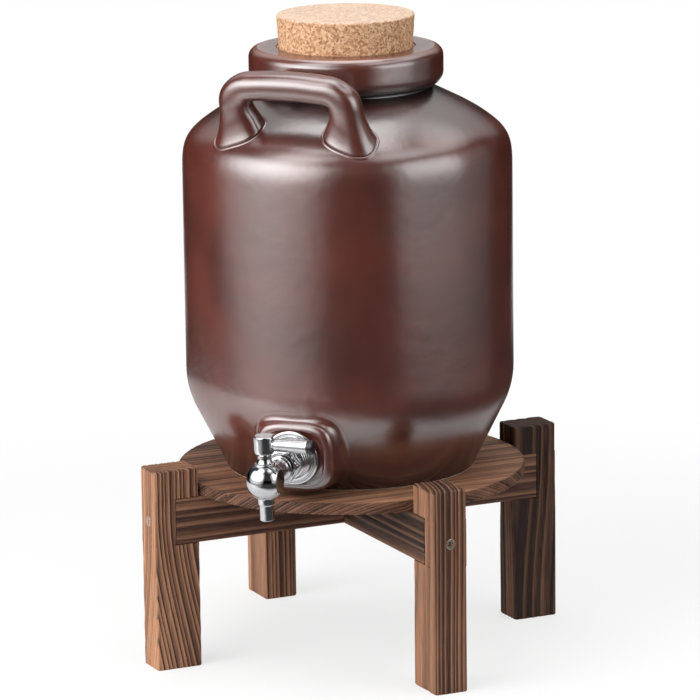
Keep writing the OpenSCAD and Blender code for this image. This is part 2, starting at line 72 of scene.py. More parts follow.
# %% [markdown]
# ## The camera
# The picture was taken from a little over three metres away with a long lens, from above the jar and to the
# right of the tap. A camera could be turned by three angles, but a spot and a direction are easier to read,
# so the turn is worked out from the direction, with a small roll because the horizon of the picture is not
# quite level.

# %% Camera
CAMERA_SPOT = Vector((1.0947, -3.0438, 0.9223))
CAMERA_VIEW = Vector((-0.33035, 0.91859, -0.21694))
CAMERA_ROLL = np.radians(-0.78)
LENS_MM, SENSOR_MM = 250.6, 36

camera_data = bpy.data.cameras.new("camera")
camera_data.lens = LENS_MM
camera_data.sensor_width = SENSOR_MM
camera = add_object("camera", camera_data)
turn = CAMERA_VIEW.to_track_quat("-Z", "Y").to_matrix().to_4x4()
camera.matrix_world = Matrix.Translation(CAMERA_SPOT) @ turn @ Matrix.Rotation(CAMERA_ROLL, 4, "Z")
bpy.context.scene.camera = camera
bpy.context.scene.view_settings.view_transform = "Standard"
print("camera:", round(CAMERA_SPOT.length, 2), "m from the stand, lens", LENS_MM, "mm")

# %% [markdown]
# ## Shader helpers
# Every finish is a small graph of nodes that ends in a Principled shader. Written out node by node, a graph
# takes a page. So one helper adds a node and fills its sockets, and the others use it for sums, ramps,
# mixes and noise.

# %% Node helpers
def srgb(red, green, blue):
    """A colour as the eye reads it, 0 to 255, as the linear values that a shader needs."""
    share = np.array([red, green, blue]) / 255
    linear = np.where(share <= 0.04045, share / 12.92, ((share + 0.055) / 1.055) ** 2.4)
    return (*linear, 1.0)


def grey(value):
    """A neutral colour."""
    return (value, value, value, 1.0)


def new_finish(name, **sockets):
    """A material with one Principled shader, and the values that are the same all over the surface."""
    finish = bpy.data.materials.new(name)
    finish.use_nodes = True
    shader = finish.node_tree.nodes["Principled BSDF"]
    for socket, value in sockets.items():
        shader.inputs[socket.replace("_", " ")].default_value = value
    return finish, finish.node_tree, shader.inputs


def add(tree, kind, sockets, **settings):
    """Adds a node; a socket that is given another node's output is linked, and any other value is set."""
    node = tree.nodes.new("ShaderNode" + kind)
    for name, value in settings.items():
        setattr(node, name, value)
    for name, value in sockets.items():
        if isinstance(value, bpy.types.NodeSocket):
            tree.links.new(value, node.inputs[name])
        else:
            node.inputs[name].default_value = value
    return node


print("colour and node helpers ready")

# %% [markdown]
# Sums, ramps, mixes and textures are one node each. Each gets a helper that gives back the socket to go on
# with, so that a finish reads like a list of steps.

# %% Sums, ramps and noise
def math_of(tree, operation, first, second=0.5):
    """One sum of two numbers, or of the first alone where the operation takes one."""
    return add(tree, "Math", {0: first, 1: second}, operation=operation).outputs[0]


def scaled(tree, value, factor, shift):
    """A number times a factor, plus a shift."""
    return add(tree, "Math", {0: value, 1: factor, 2: shift}, operation="MULTIPLY_ADD").outputs[0]


def vectors_to_number(tree, operation, first, second):
    """The number that two vectors give, such as their distance."""
    return add(tree, "VectorMath", {0: first, 1: tuple(second)}, operation=operation).outputs["Value"]


def faded(tree, value, low, high, start=0.0):
    """A share that rises smoothly from start, where the value is low, to 1, where it is high."""
    sockets = {0: value, 1: low, 2: high, 3: start}
    return add(tree, "MapRange", sockets, interpolation_type="SMOOTHSTEP").outputs[0]


def ramp(tree, value, *stops):
    """A colour that follows a number through stops of position and colour."""
    node = add(tree, "ValToRGB", {"Fac": value})
    elements = node.color_ramp.elements
    while len(elements) < len(stops):
        elements.new(1.0)
    for element, (position, colour) in zip(elements, stops):
        element.position = position
        element.color = colour
    return node.outputs["Color"]


def mix(tree, share, first, second):
    """Two colours mixed by a share from 0 to 1."""
    return add(tree, "Mix", {0: share, 6: first, 7: second}, data_type="RGBA").outputs[2]


def bump(tree, height, distance, strength=1.0):
    """A normal bent by a height map, with the height of a full step in metres."""
    sockets = {"Height": height, "Distance": distance, "Strength": strength}
    return add(tree, "Bump", sockets).outputs["Normal"]


def noise(tree, place, scale, detail=3.0, roughness=0.5):
    """Soft noise from 0 to 1, with a scale in features per metre."""
    sockets = {"Vector": place, "Scale": scale, "Detail": detail, "Roughness": roughness}
    return add(tree, "TexNoise", sockets).outputs["Fac"]


def object_place(tree):
    """The place of a point in the object's own frame, in metres."""
    return add(tree, "TexCoord", {}).outputs["Object"]


def attribute(tree, name, output):
    """A number or a vector that a piece carries on its points."""
    return add(tree, "Attribute", {}, attribute_name=name).outputs[output]


print("sums, ramps and noise ready")

# %% [markdown]
# ## The studio
# Glossy ceramic shows its surroundings, so the light matters as much as the glaze. The picture has a large
# soft light at the left, a weaker one with a crisp inner edge at the right and others overhead, with
# darkness between them. Area lamps could stand there, but a lamp's face is evenly bright and shows as a
# hard band. So each light is a panel whose glow fades towards its edges. The camera looks down, so the
# upright barrel mirrors what stands low at its sides, and the slope above it mirrors what hangs high.
# Panels overlap, so each lets the others shine through it.

# %% Light panels
AIM = np.array([0.0, 0.0, 0.26])
CAMERA_AZIMUTH = np.degrees(np.arctan2(CAMERA_SPOT.x, -CAMERA_SPOT.y))


def unit(vector):
    """A vector of length 1."""
    return vector / np.linalg.norm(vector)


def bearing(azimuth):
    """Level unit vector at an azimuth in degrees, counted to the right from the camera's side."""
    a = np.radians(CAMERA_AZIMUTH + azimuth)
    return np.array([np.sin(a), -np.cos(a), 0.0])


def panel_finish(name, strength, fades, lean):
    """Glow of a panel: strength (1 + lean u) (1 - |u|^a) (1 - |v|^b), with u and v from -1 to 1 across and
    up the panel, and fades a and b."""
    finish = bpy.data.materials.new(name)
    finish.use_nodes = True
    tree = finish.node_tree
    tree.nodes.clear()
    parts = add(tree, "SeparateXYZ", {0: add(tree, "TexCoord", {}).outputs["UV"]}).outputs
    glow = scaled(tree, parts["X"], 2 * lean * strength, strength * (1 - lean))
    for part, fade in zip((parts["X"], parts["Y"]), fades):
        off_centre = math_of(tree, "ABSOLUTE", scaled(tree, part, 2.0, -1.0))
        inside = math_of(tree, "SUBTRACT", 1.0, math_of(tree, "POWER", off_centre, fade))
        glow = math_of(tree, "MULTIPLY", inside, glow)
    lit = add(tree, "Emission", {"Strength": glow}).outputs[0]
    clear = add(tree, "BsdfTransparent", {}).outputs[0]
    add(tree, "OutputMaterial", {"Surface": add(tree, "AddShader", {0: lit, 1: clear}).outputs[0]})
    return finish


def light_panel(name, azimuth, distance, middle, size, strength, fades, lean=0.0):
    """A glowing rectangle whose middle is at a distance and a height. It faces the jar, and the camera
    doesn't see it."""
    centre = bearing(azimuth) * distance + [0, 0, middle]
    out = unit(centre - AIM)
    side = unit(np.cross(UPRIGHT, out))
    up = np.cross(out, side)
    corners = np.array([[-1, -1], [1, -1], [1, 1], [-1, 1]]) / 2
    points = centre + corners[:, :1] * size[0] * side + corners[:, 1:] * size[1] * up
    mesh = bpy.data.meshes.new(name)
    mesh.from_pydata(points.tolist(), [], [(0, 1, 2, 3)])
    mesh.uv_layers.new(name="UVMap").data.foreach_set("uv", (corners + 0.5).ravel())
    mesh.materials.append(panel_finish(name, strength, fades, lean))
    panel = add_object(name, mesh)
    panel.visible_camera = False
    panel.visible_shadow = False


print("panel helpers ready")

# %% [markdown]
# Eleven panels make the studio. Each line gives an azimuth from the camera's side, the distance and the
# height of the panel's middle, its size, its strength and how sharply it fades across and up. The first
# six stand at the sides and light the barrel and the shoulder. The others hang overhead, before and
# behind the jar.

# %% Panels in place
light_panel("light_left", -56, 0.85, 0.45, (1.76, 0.9), 1.2, (1.5, 16.0))
light_panel("light_left_high", -53, 0.85, 0.62, (1.66, 0.9), 4.4, (1.3, 2.0))
light_panel("light_left_low", -50, 0.50, 0.03, (0.7, 0.3), 0.5, (2.0, 2.0))
light_panel("light_right", 73, 0.85, 0.45, (1.66, 0.9), 0.43, (16.0, 16.0), -0.75)
light_panel("light_right_low", 74, 0.55, 0.03, (0.9, 0.3), 0.12, (4.0, 2.0))
light_panel("light_right_high", 60, 0.85, 0.57, (0.76, 0.8), 2.1, (8.0, 2.0))
light_panel("light_above", 190, 0.15, 1.45, (1.0, 1.0), 3.1, (4.0, 4.0))
light_panel("light_front", -45, 0.66, 1.20, (0.9, 0.7), 3.2, (2.0, 2.0))
light_panel("light_front_right", 52, 0.60, 1.25, (0.9, 0.6), 2.0, (2.0, 2.0))
light_panel("light_back", 182, 1.10, 1.46, (2.8, 2.0), 0.84, (4.0, 2.0), -0.1)
light_panel("light_right_top", 110, 0.75, 1.25, (1.1, 0.6), 1.7, (2.0, 2.0))

# %% [markdown]
# The floor is a pale sheet with low walls far off. A white world would be simpler, but the glaze would
# mirror it on every side and lose its dark tone. So near the stand the floor is a plain surface that
# takes the shadow. Further away the camera sees even white, and mirrors and glass see it too, in a strip
# of paper behind the jar. Gloss that looks to the sides meets a dark room beyond the edge of a round
# table.

# %% Floor and world
FLOOR_HALF, WALL_HIGH = 8.0, 2.2
NEAR_WHITE, FADE_FROM, FADE_TO = 0.68, 0.32, 0.7
TABLE_MIDDLE, TABLE_FROM, TABLE_TO = 0.3 * bearing(235), 0.5, 0.62
BEHIND_FROM, BEHIND_TO = 0.8, 1.2
PAPER_FROM, PAPER_TO = 0.5, 0.4
FLOOR_GREY, TABLE_GREY, ROOM_GREY = 0.9, 0.8, 0.05

floor_finish, tree, floor_shader = new_finish("pale_floor", Roughness=0.9, Specular_IOR_Level=0.0)
place = object_place(tree)
path = add(tree, "LightPath", {}).outputs
by_camera = path["Is Camera Ray"]
mirrored = math_of(tree, "MAXIMUM", path["Is Glossy Ray"], path["Is Transmission Ray"])
far = faded(tree, vectors_to_number(tree, "DISTANCE", place, (0, 0, 0)), FADE_FROM, FADE_TO, NEAR_WHITE)
off_table = faded(tree, vectors_to_number(tree, "DISTANCE", place, TABLE_MIDDLE), TABLE_FROM, TABLE_TO)
behind = faded(tree, vectors_to_number(tree, "DOT_PRODUCT", place, bearing(180)), BEHIND_FROM, BEHIND_TO)
aside = math_of(tree, "ABSOLUTE", vectors_to_number(tree, "DOT_PRODUCT", place, bearing(90)))
paper = math_of(tree, "MULTIPLY", behind, faded(tree, aside, PAPER_FROM, PAPER_TO))
seen = math_of(tree, "MAXIMUM", by_camera, math_of(tree, "MULTIPLY", mirrored, paper))
table = mix(tree, off_table, grey(TABLE_GREY), grey(ROOM_GREY))
tree.links.new(mix(tree, by_camera, table, grey(FLOOR_GREY)), floor_shader["Base Color"])
white = add(tree, "Emission", {"Color": grey(1.0), "Strength": 1.0}).outputs[0]
plain = tree.nodes["Principled BSDF"].outputs[0]
floor_mix = add(tree, "MixShader", {0: math_of(tree, "MULTIPLY", far, seen), 1: plain, 2: white})
tree.links.new(floor_mix.outputs[0], tree.nodes["Material Output"].inputs["Surface"])

floor_mesh = bpy.data.meshes.new("floor")
low = np.array([[-1, -1, 0], [1, -1, 0], [1, 1, 0], [-1, 1, 0]]) * FLOOR_HALF
walls = [(0, 4, 5, 1), (1, 5, 6, 2), (2, 6, 7, 3), (3, 7, 4, 0)]
floor_mesh.from_pydata(np.vstack([low, low + [0, 0, WALL_HIGH]]).tolist(), [], [(0, 1, 2, 3)] + walls)
floor_mesh.materials.append(floor_finish)
add_object("floor", floor_mesh)

world = bpy.data.worlds.new("studio")
bpy.context.scene.world = world
world.use_nodes = True
world.node_tree.nodes["Background"].inputs["Color"].default_value = grey(ROOM_GREY)
print("floor and world ready")

# %% [markdown]
# ## Mesh helpers
# A piece is one or more sheets. A sheet is a grid of points, worked out as one array, so the formula for a
# shape stays in one place. Sheets that meet have points in common, and merging those closes seams and
# poles.

# %% From sheets to a piece
MERGE_APART = 1e-6


def sheet_faces(rows, columns, first):
    """Quads of a grid of points, counted from the first one: each joins two neighbours and the two above."""
    corner = first + np.arange(rows - 1)[:, None] * columns + np.arange(columns - 1)
    return np.stack([corner, corner + 1, corner + columns + 1, corner + columns], axis=-1).reshape(-1, 4)


def close_mesh(mesh):
    """Merges points that lie together, drops faces that this leaves empty, and turns the rest outwards."""
    work = bmesh.new()
    work.from_mesh(mesh)
    bmesh.ops.remove_doubles(work, verts=work.verts, dist=MERGE_APART)
    bmesh.ops.dissolve_degenerate(work, edges=work.edges, dist=MERGE_APART / 2)
    bmesh.ops.recalc_face_normals(work, faces=work.faces)
    work.to_mesh(mesh)
    work.free()


print("sheet helpers ready")

# %% [markdown]
# A finished piece stays at the origin, with its place in its mesh. It rides on the body that carries it, and
# the imported node that it stands for is hidden. A node whose own shape is right only gets a finish.

# %% A piece on its body
def make_piece(name, sheets, body, node, finish, sharp, values=()):
    """One closed mesh from sheets of points in millimetres. Edges over the sharp angle, in degrees, stay
    sharp. Values are named numbers or vectors for each point."""
    counts = np.cumsum([0] + [s.shape[0] * s.shape[1] for s in sheets])
    points = np.concatenate([s.reshape(-1, 3) for s in sheets]) * MM
    quads = np.concatenate([sheet_faces(*s.shape[:2], first) for s, first in zip(sheets, counts)])
    mesh = bpy.data.meshes.new(name)
    mesh.vertices.add(len(points))
    mesh.vertices.foreach_set("co", points.ravel())
    mesh.loops.add(quads.size)
    mesh.loops.foreach_set("vertex_index", quads.ravel())
    mesh.polygons.add(len(quads))
    mesh.polygons.foreach_set("loop_start", np.arange(len(quads)) * 4)
    for value_name, value_sheets in values:
        value = np.concatenate([v.reshape(n, -1) for v, n in zip(value_sheets, np.diff(counts))])
        vector = value.shape[1] == 3
        layer = mesh.attributes.new(value_name, "FLOAT_VECTOR" if vector else "FLOAT", "POINT")
        layer.data.foreach_set("vector" if vector else "value", value.ravel())
    mesh.update(calc_edges=True)
    close_mesh(mesh)
    mesh.polygons.foreach_set("use_smooth", np.ones(len(mesh.polygons), dtype=bool))
    mesh.set_sharp_from_angle(angle=np.radians(sharp))
    mesh.materials.append(finish)
    made = add_object(name, mesh)
    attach(made, body)
    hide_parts(node)
    print("made", name, "with", len(mesh.polygons), "faces")


def dress(node, finish):
    """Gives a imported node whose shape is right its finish."""
    materials = frame["nodes"][node].data.materials
    materials.clear()
    materials.append(finish)


print("piece helpers ready")

# %% [markdown]
# Most pieces start as an outline: a few corners, each rounded by an arc. A Bevel modifier could round the
# edges of a finished mesh, but an arc in the outline has the exact radius and is no more work. A rounded
# corner catches a line of light, which a sharp one never does.

# %% Outlines
EASE_STEP, EASE_KEEP = 0.5, 3


def corner_arc(before, corner, after, radius, step):
    """Arc that touches both sides of a corner: its middle is on the bisector, radius / sin(half angle)
    away."""
    to_before, to_after = unit(before - corner), unit(after - corner)
    half = np.arccos(np.clip(to_before @ to_after, -1, 1)) / 2
    middle = corner + unit(to_before + to_after) * radius / np.sin(half)
    arms = corner + np.stack([to_before, to_after]) * radius / np.tan(half) - middle
    start, end = np.arctan2(arms[:, 1], arms[:, 0])
    sweep = (end - start + np.pi) % (2 * np.pi) - np.pi
    angles = start + sweep * np.linspace(0, 1, max(3, int(abs(np.degrees(sweep)) / step) + 2))
    return middle + radius * np.stack([np.cos(angles), np.sin(angles)], axis=1)


def rounded(corners, radii, step):
    """Open outline through corners, each replaced by an arc of its radius, or kept where that is 0. Points
    on an arc are at most a step apart, in degrees."""
    corners = np.array(corners, dtype=float)
    stretches = [corners[:1]]
    for i in range(1, len(corners) - 1):
        if radii[i] > 0:
            stretches.append(corner_arc(corners[i - 1], corners[i], corners[i + 1], radii[i], step))
        else:
            stretches.append(corners[i:i + 1])
    return np.concatenate(stretches + [corners[-1:]])


def spaced(outline, gap):
    """The same outline with points at most a gap apart."""
    lengths = np.linalg.norm(np.diff(outline, axis=0), axis=1)
    counts = np.maximum(1, np.ceil(lengths / gap)).astype(int)
    steps = [a + (b - a) * np.linspace(0, 1, n, endpoint=False)[:, None]
             for a, b, n in zip(outline[:-1], outline[1:], counts)]
    return np.concatenate(steps + [outline[-1:]])


def eased(outline, low, high, width):
    """The outline with bends that set in slowly between two heights: there it is averaged along its length,
    with a bell of that width."""
    along = np.append(0, np.cumsum(np.linalg.norm(np.diff(outline, axis=0), axis=1)))
    even = np.arange(0, along[-1], EASE_STEP)
    line = np.stack([np.interp(even, along, part) for part in outline.T], axis=1)
    reach = np.arange(-4 * width, 4 * width + EASE_STEP / 2, EASE_STEP)
    bell = np.exp(-reach ** 2 / (2 * width ** 2))
    soft = np.stack([np.convolve(part, bell / bell.sum(), mode="same") for part in line.T], axis=1)
    before, after = np.argmax(outline[:, 1] > low), np.argmax(outline[:, 1] > high)
    between = (line[:, 1] > low) & (line[:, 1] < high)
    return np.concatenate([outline[:before], soft[between][::EASE_KEEP], outline[after:]])


print("outline helpers ready")

# %% [markdown]
# Carried round an axis, an outline gives a turned piece. A Screw modifier does the same, but an array of
# points can still be dented or pushed before it becomes a mesh. The boss and the handle are not round, so
# a rounded square is carried along a path for them.

# %% Turned shapes
def full_turn(sides):
    """Angles round a circle, with the first one again at the end so that the seam closes."""
    return np.append(np.linspace(0, 2 * np.pi, sides, endpoint=False), 0.0)


def turned(outline, sides=96):
    """An outline of radius and height carried round Z: (r cos t, r sin t, z)."""
    angle = full_turn(sides)
    r, z = outline[:, :1], outline[:, 1:]
    return np.stack([r * np.cos(angle), r * np.sin(angle), z + 0 * angle], axis=-1)


def superellipse(sides, power):
    """Rounded square |x|^p + |y|^p = 1: (cos t, sin t) times (|cos t|^p + |sin t|^p)^(-1 / p)."""
    angle = full_turn(sides)
    around = np.stack([np.cos(angle), np.sin(angle)], axis=1)
    return around * np.sum(np.abs(around) ** power, axis=1, keepdims=True) ** (-1 / power)


print("turned shapes ready")

# %% [markdown]
# Hand-made surfaces are never quite even. A Displace modifier could move a finished mesh, but its texture
# would have to be set up for each piece. A table of random numbers, blended smoothly between the corners
# of a lattice, works on any array of points and gives the same gentle unevenness on every run.

# %% Soft noise
LATTICE = 32
RANDOM_TABLE = np.random.default_rng(11).random((LATTICE, LATTICE, LATTICE))


def soft_noise(points, size):
    """Noise from -1 to 1: random values on cubes of that size, blended by 3 f^2 - 2 f^3 between corners."""
    cell = np.floor(points / size).astype(int)
    f = points / size - cell
    f = f * f * (3 - 2 * f)
    total = np.zeros(points.shape[:-1])
    for corner in np.ndindex(2, 2, 2):
        weight = np.prod(np.where(corner, f, 1 - f), axis=-1)
        total += weight * RANDOM_TABLE[tuple(np.moveaxis((cell + corner) % LATTICE, -1, 0))]
    return 2 * total - 1


def smooth_step(value, low, high):
    """0 below low, 1 above high, and 3 t^2 - 2 t^3 between."""
    t = np.clip((value - low) / (high - low), 0, 1)
    return t * t * (3 - 2 * t)


print("soft noise table of", RANDOM_TABLE.size, "values")

# %% [markdown]
# ## The glaze
# The jar has a red-brown iron glaze that breaks to a lighter, rustier tone where it runs thin over edges,
# with a gentle unevenness that makes reflections waver. Under the collar, at the foot and on the flat of the
# shoulder it is painted nearly black as painted shade. The foot and the seat of the cork are left bare. A
# Principled shader with a high index of refraction gives the gloss. Thin and shaded places could be painted
# by hand, but paint stays behind when the shape changes. So a number on each point, worked out with the
# shape, says how thin the glaze is there and how much painted shade it gets.

# %% Glaze finish
GLAZE_DEEP, GLAZE_RED, GLAZE_THIN = srgb(78, 37, 30), srgb(100, 48, 38), srgb(160, 102, 80)
# The second colour on the next line is painted shade, nearly black, for under the collar, at the foot and on
# the flat of the shoulder.
GLAZE_PIT, GLAZE_SHADE = srgb(54, 27, 24), srgb(26, 13, 11)
BARE_CLAY = srgb(222, 204, 186)
CLOUD_SCALE, RUST_SCALE, CLAY_EDGE_SCALE = 22, 180, 120
PIT_SCALE, WAVE_SCALE, SHEEN_SCALE = 900, 110, 60
WAVE_HIGH = 0.00016


def glaze_finish():
    """Iron glaze with slow changes of tone, fine pits and a slightly wavering surface."""
    finish, tree, shader = new_finish("iron_glaze", IOR=2.4)
    place = object_place(tree)
    colour = ramp(tree, noise(tree, place, CLOUD_SCALE, 4), (0.35, GLAZE_DEEP), (0.65, GLAZE_RED))
    pits = noise(tree, place, PIT_SCALE, 2)
    colour = mix(tree, ramp(tree, pits, (0.62, grey(0.0)), (0.72, grey(0.4))), colour, GLAZE_PIT)
    glaze_thin_and_shade = attribute(tree, "glaze_thin_and_shade", "Fac")
    ragged = math_of(tree, "MULTIPLY", glaze_thin_and_shade, math_of(tree, "ADD", noise(tree, place, RUST_SCALE, 3), 0.5))
    colour = mix(tree, ragged, colour, GLAZE_THIN)
    # Painted shade: where the number is below 0, the glaze is darkened towards nearly black.
    colour = mix(tree, math_of(tree, "MULTIPLY", glaze_thin_and_shade, -1.0), colour, GLAZE_SHADE)
    wander = scaled(tree, noise(tree, place, CLAY_EDGE_SCALE, 3), 0.5, -0.25)
    bare = math_of(tree, "GREATER_THAN", math_of(tree, "ADD", attribute(tree, "bare", "Fac"), wander), 0.5)
    tree.links.new(mix(tree, bare, colour, BARE_CLAY), shader["Base Color"])
    rough = scaled(tree, noise(tree, place, SHEEN_SCALE, 3), 0.08, 0.2)
    rough = math_of(tree, "MAXIMUM", rough, math_of(tree, "MULTIPLY", bare, 0.8))
    tree.links.new(rough, shader["Roughness"])
    height = scaled(tree, pits, 0.12, noise(tree, place, WAVE_SCALE, 2))
    tree.links.new(bump(tree, height, WAVE_HIGH), shader["Normal"])
    return finish


iron_glaze = glaze_finish()
print("finish:", iron_glaze.name)

# %% [markdown]
# ## The jar
# A potter throws the jar on a wheel, so its body is an outline carried round an axis: foot, barrel,
# shoulder, a short neck and a rolled collar, and back down the inside. The sizes are those of the solid,
# measured up from the jar's base. Arcs alone would give the shoulder's gleam hard ends, so its bends are
# eased.

# %% Jar outline
jar_low, jar_high = box_mm("jar_body")
JAR_BASE = jar_low[2]
JAR_R = jar_high[0]
FOOT_R, FOOT_IN, FOOT_HOLLOW, FOOT_H = 85.0, 72.0, 2.5, 2.5
BELLY_H, SHOULDER_H = 55.0, 227.0
CREASE_R, CREASE_H = 88.0, 244.0
NECK_R, NECK_H, UNDER_H = 57.0, 259.4, 260.6
COLLAR_R, MOUTH_H = 65.5, 286.7
MOUTH_R, THROAT_R, CORK_DEEP = 45.4, 43.8, 24.0
WALL, FLOOR_T = 8.0, 11.0
EASE_FROM, EASE_TO, EASE_WIDTH = SHOULDER_H - 45, NECK_H - 8, 7.0

outer_line = rounded(
    [(0, FOOT_HOLLOW), (FOOT_IN, FOOT_HOLLOW), (FOOT_IN + 0.6, 0), (FOOT_R - 0.8, 0), (FOOT_R, FOOT_H),
     (JAR_R, BELLY_H), (JAR_R, SHOULDER_H), (CREASE_R, CREASE_H), (NECK_R, NECK_H), (NECK_R, UNDER_H),
     (COLLAR_R, UNDER_H), (COLLAR_R, MOUTH_H), (MOUTH_R + 1.5, MOUTH_H), (MOUTH_R, MOUTH_H - 1.5)],
    [0, 1.0, 0.6, 1.0, 1.0, 58, 18, 50, 0.5, 0.5, 9.5, 6.5, 1.0, 0], step=4)
outer_line = eased(outer_line, EASE_FROM, EASE_TO, EASE_WIDTH)
inner_line = rounded(
    [(MOUTH_R, MOUTH_H - 1.5), (THROAT_R, MOUTH_H - CORK_DEEP), (THROAT_R, NECK_H - 3),
     (CREASE_R - 3, CREASE_H - 8), (JAR_R - WALL, SHOULDER_H - 5), (JAR_R - WALL, BELLY_H),
     (FOOT_R - 7, FLOOR_T), (0, FLOOR_T)],
    [0, 2, 4, 40, 16, 50, 12, 0], step=8)
print("jar:", round(2 * JAR_R, 1), "mm wide,", MOUTH_H, "mm to the mouth,", len(outer_line), "outline points")

# %% [markdown]
# The tap is clamped in a boss near the base, and the handle stands on the shoulder. Both have to meet the
# wall. A Shrinkwrap modifier could pull their edges onto it, but it would bend their sides. So one helper
# says how far out the wall is at a height, and another follows a line, through the boss or along a leg of
# the handle, until it reaches the wall.

# %% Where the wall is
HALVINGS = 40


def wall_radius(height):
    """Radius of the outside at a height above the base, read along the outline between foot and neck."""
    rising = outer_line[(outer_line[:, 1] >= FOOT_H) & (outer_line[:, 1] <= NECK_H)]
    order = np.argsort(rising[:, 1])
    return np.interp(height, rising[order, 1], rising[order, 0])


def reach_wall(start, along, near, far):
    """Distance along a direction at which lines from the start points cross the wall, by halving the
    stretch."""
    low, high = np.full(start.shape[:-1], near), np.full(start.shape[:-1], far)
    for _ in range(HALVINGS):
        middle = (low + high) / 2
        spot = start + middle[..., None] * along
        outside = np.hypot(spot[..., 0], spot[..., 1]) > wall_radius(spot[..., 2] - JAR_BASE)
        low, high = np.where(outside, low, middle), np.where(outside, middle, high)
    return (low + high) / 2


def wall_normal(spot):
    """Outward direction of the wall, from the slope of its outline."""
    height = spot[..., 2] - JAR_BASE
    slope = wall_radius(height + 0.5) - wall_radius(height - 0.5)
    flat = spot[..., :2] / np.hypot(spot[..., 0], spot[..., 1])[..., None]
    normal = np.concatenate([flat, -slope[..., None]], axis=-1)
    return normal / np.linalg.norm(normal, axis=-1, keepdims=True)


print("wall at the belly:", round(float(wall_radius(BELLY_H)), 1), "mm from the axis")

# %% [markdown]
# ### Places along the tap
# The tap leans down a little. It could be made upright and its object turned, but a finished piece stays
# unturned at the origin, so that the pattern of its finish keeps its place. The lever's hinge gives the
# middle of the ball and the direction of the stem, and the shank runs square to it. Two helpers put a
# shape on the shank or on the stem.

# %% Tap frame
SIDE = np.array([1.0, 0.0, 0.0])
UP = -np.array(joints["lever_turn"]["axis"])
OUT = np.cross(SIDE, UP)
BALL = np.array(joints["lever_turn"]["pos_m"]) / MM
TAP_REACH = 52.0
BOSS_FACE = BALL - TAP_REACH * OUT
tap_lean = 90 - np.degrees(np.arcsin(UP[2]))


def on_shank(points):
    """Z runs outwards along the shank from the boss's face, X to the side and Y up."""
    return BOSS_FACE + points @ np.stack([SIDE, UP, OUT])


def on_stem(points):
    """Z runs up the stem from the ball's middle, X to the side and Y back to the jar."""
    return BALL + points @ np.stack([SIDE, -OUT, UP])


print("tap: ball at", BALL.round(1), "mm, leaning", round(float(tap_lean), 1), "degrees")

# %% [markdown]
# ### Barrel
# The outline is carried round the axis. The wall is pushed out behind the boss, where the tap's nut sits,
# and a slow unevenness of a fraction of a millimetre stands for the marks of the potter's hands. Both
# could be sculpted, but a formula gives the same jar on every run.

# %% Barrel
JAR_SIDES, OUTER_GAP, INNER_GAP = 216, 2.6, 7.0
BOSS_W, BOSS_H, PAD_ROUND, PAD_BEHIND = 54.0, 46.0, 10.2, -40.0
BACKING_S, BACKING_IN, BACKING_SOFT = -2.5, 4.0, 4.0
POCKET_S, POCKET_W, POCKET_H, POCKET_SOFT = -10.0, 40.0, 32.0, 2.0
HAND_MARK, HAND_SIZE = 0.35, 46


def inside_pad(points, width, height, soft):
    """1 inside a rounded pad on the boss, fading to 0 over a soft edge: a distance outside a rounded
    rectangle."""
    from_face = points - BOSS_FACE
    corner = np.abs(np.stack([from_face @ SIDE, from_face @ UP], axis=-1))
    corner = corner - np.array([width, height]) / 2 + PAD_ROUND
    outside = np.linalg.norm(np.maximum(corner, 0), axis=-1) - PAD_ROUND
    return (1 - smooth_step(outside, -soft, 0)) * (from_face @ OUT > PAD_BEHIND)


def pushed(points, depth, width, height, soft):
    """Points inside the pad moved along the shank to a depth behind the boss's face."""
    share = inside_pad(points, width, height, soft)
    current = (points - BOSS_FACE) @ OUT
    return points + (share * (depth - current))[..., None] * OUT


def from_axis(points):
    """Distance of points from the jar's axis, and their level directions away from it."""
    r = np.hypot(points[..., 0], points[..., 1])
    return r, points * [1, 1, 0] / np.maximum(r, 1)[..., None]


barrel_out = turned(spaced(outer_line, OUTER_GAP), JAR_SIDES) + JAR_BASE * UPRIGHT
barrel_in = turned(spaced(inner_line, INNER_GAP), JAR_SIDES) + JAR_BASE * UPRIGHT
unevenness = HAND_MARK * (soft_noise(barrel_out * [1, 1, 0.7], HAND_SIZE) - 1) / 2
height = barrel_out[..., 2] - JAR_BASE
on_barrel = smooth_step(height, 4, 20) * (1 - smooth_step(height, UNDER_H - 6, UNDER_H))
barrel_out = barrel_out + (unevenness * on_barrel)[..., None] * from_axis(barrel_out)[1]
barrel_out = pushed(barrel_out, BACKING_S, BOSS_W - BACKING_IN, BOSS_H - BACKING_IN, BACKING_SOFT)
barrel_in = pushed(barrel_in, POCKET_S, POCKET_W, POCKET_H, POCKET_SOFT)
print("barrel:", barrel_out.shape[:2], "outside and", barrel_in.shape[:2], "inside")

# %% [markdown]
# ### Boss
# The pad for the tap is pressed on by hand: a rounded square with a soft raised edge, whose sides sweep
# into the wall. A Boolean would join it to the barrel with a sharp seam, which clay doesn't have. So
# round its outline the edge profile is carried first, and then, for each point, a curve with three
# control points leads from the edge down its side and out along the wall.

# %% Boss
BOSS_EDGE, BOSS_DISH, BOSS_SWEEP, BOSS_DRAFT, BOSS_SAG = 4.8, 1.0, 4.5, 1.5, 1.1
PAD_SIDES, PAD_POWER = 160, 3.4
DISH_RINGS = ((-0.3 * BOSS_H, 1.0), (-7.2, 1.0), (-6.4, 0.85), (-5.6, 0.3))
BOSS_BACK, BOSS_UNDER = -9.0, 1.5


def pad_ring(grow, depth):
    """Outline of the boss at a depth along the shank, grown on each side: a superellipse whose lower half
    sags."""
    flat = superellipse(PAD_SIDES, PAD_POWER) * [BOSS_W / 2 + grow, BOSS_H / 2 + grow]
    sag = np.where(flat[:, 1:] < 0, [1.0, BOSS_SAG], 1.0)
    return on_shank(np.column_stack([flat * sag, np.full(len(flat), depth)]))


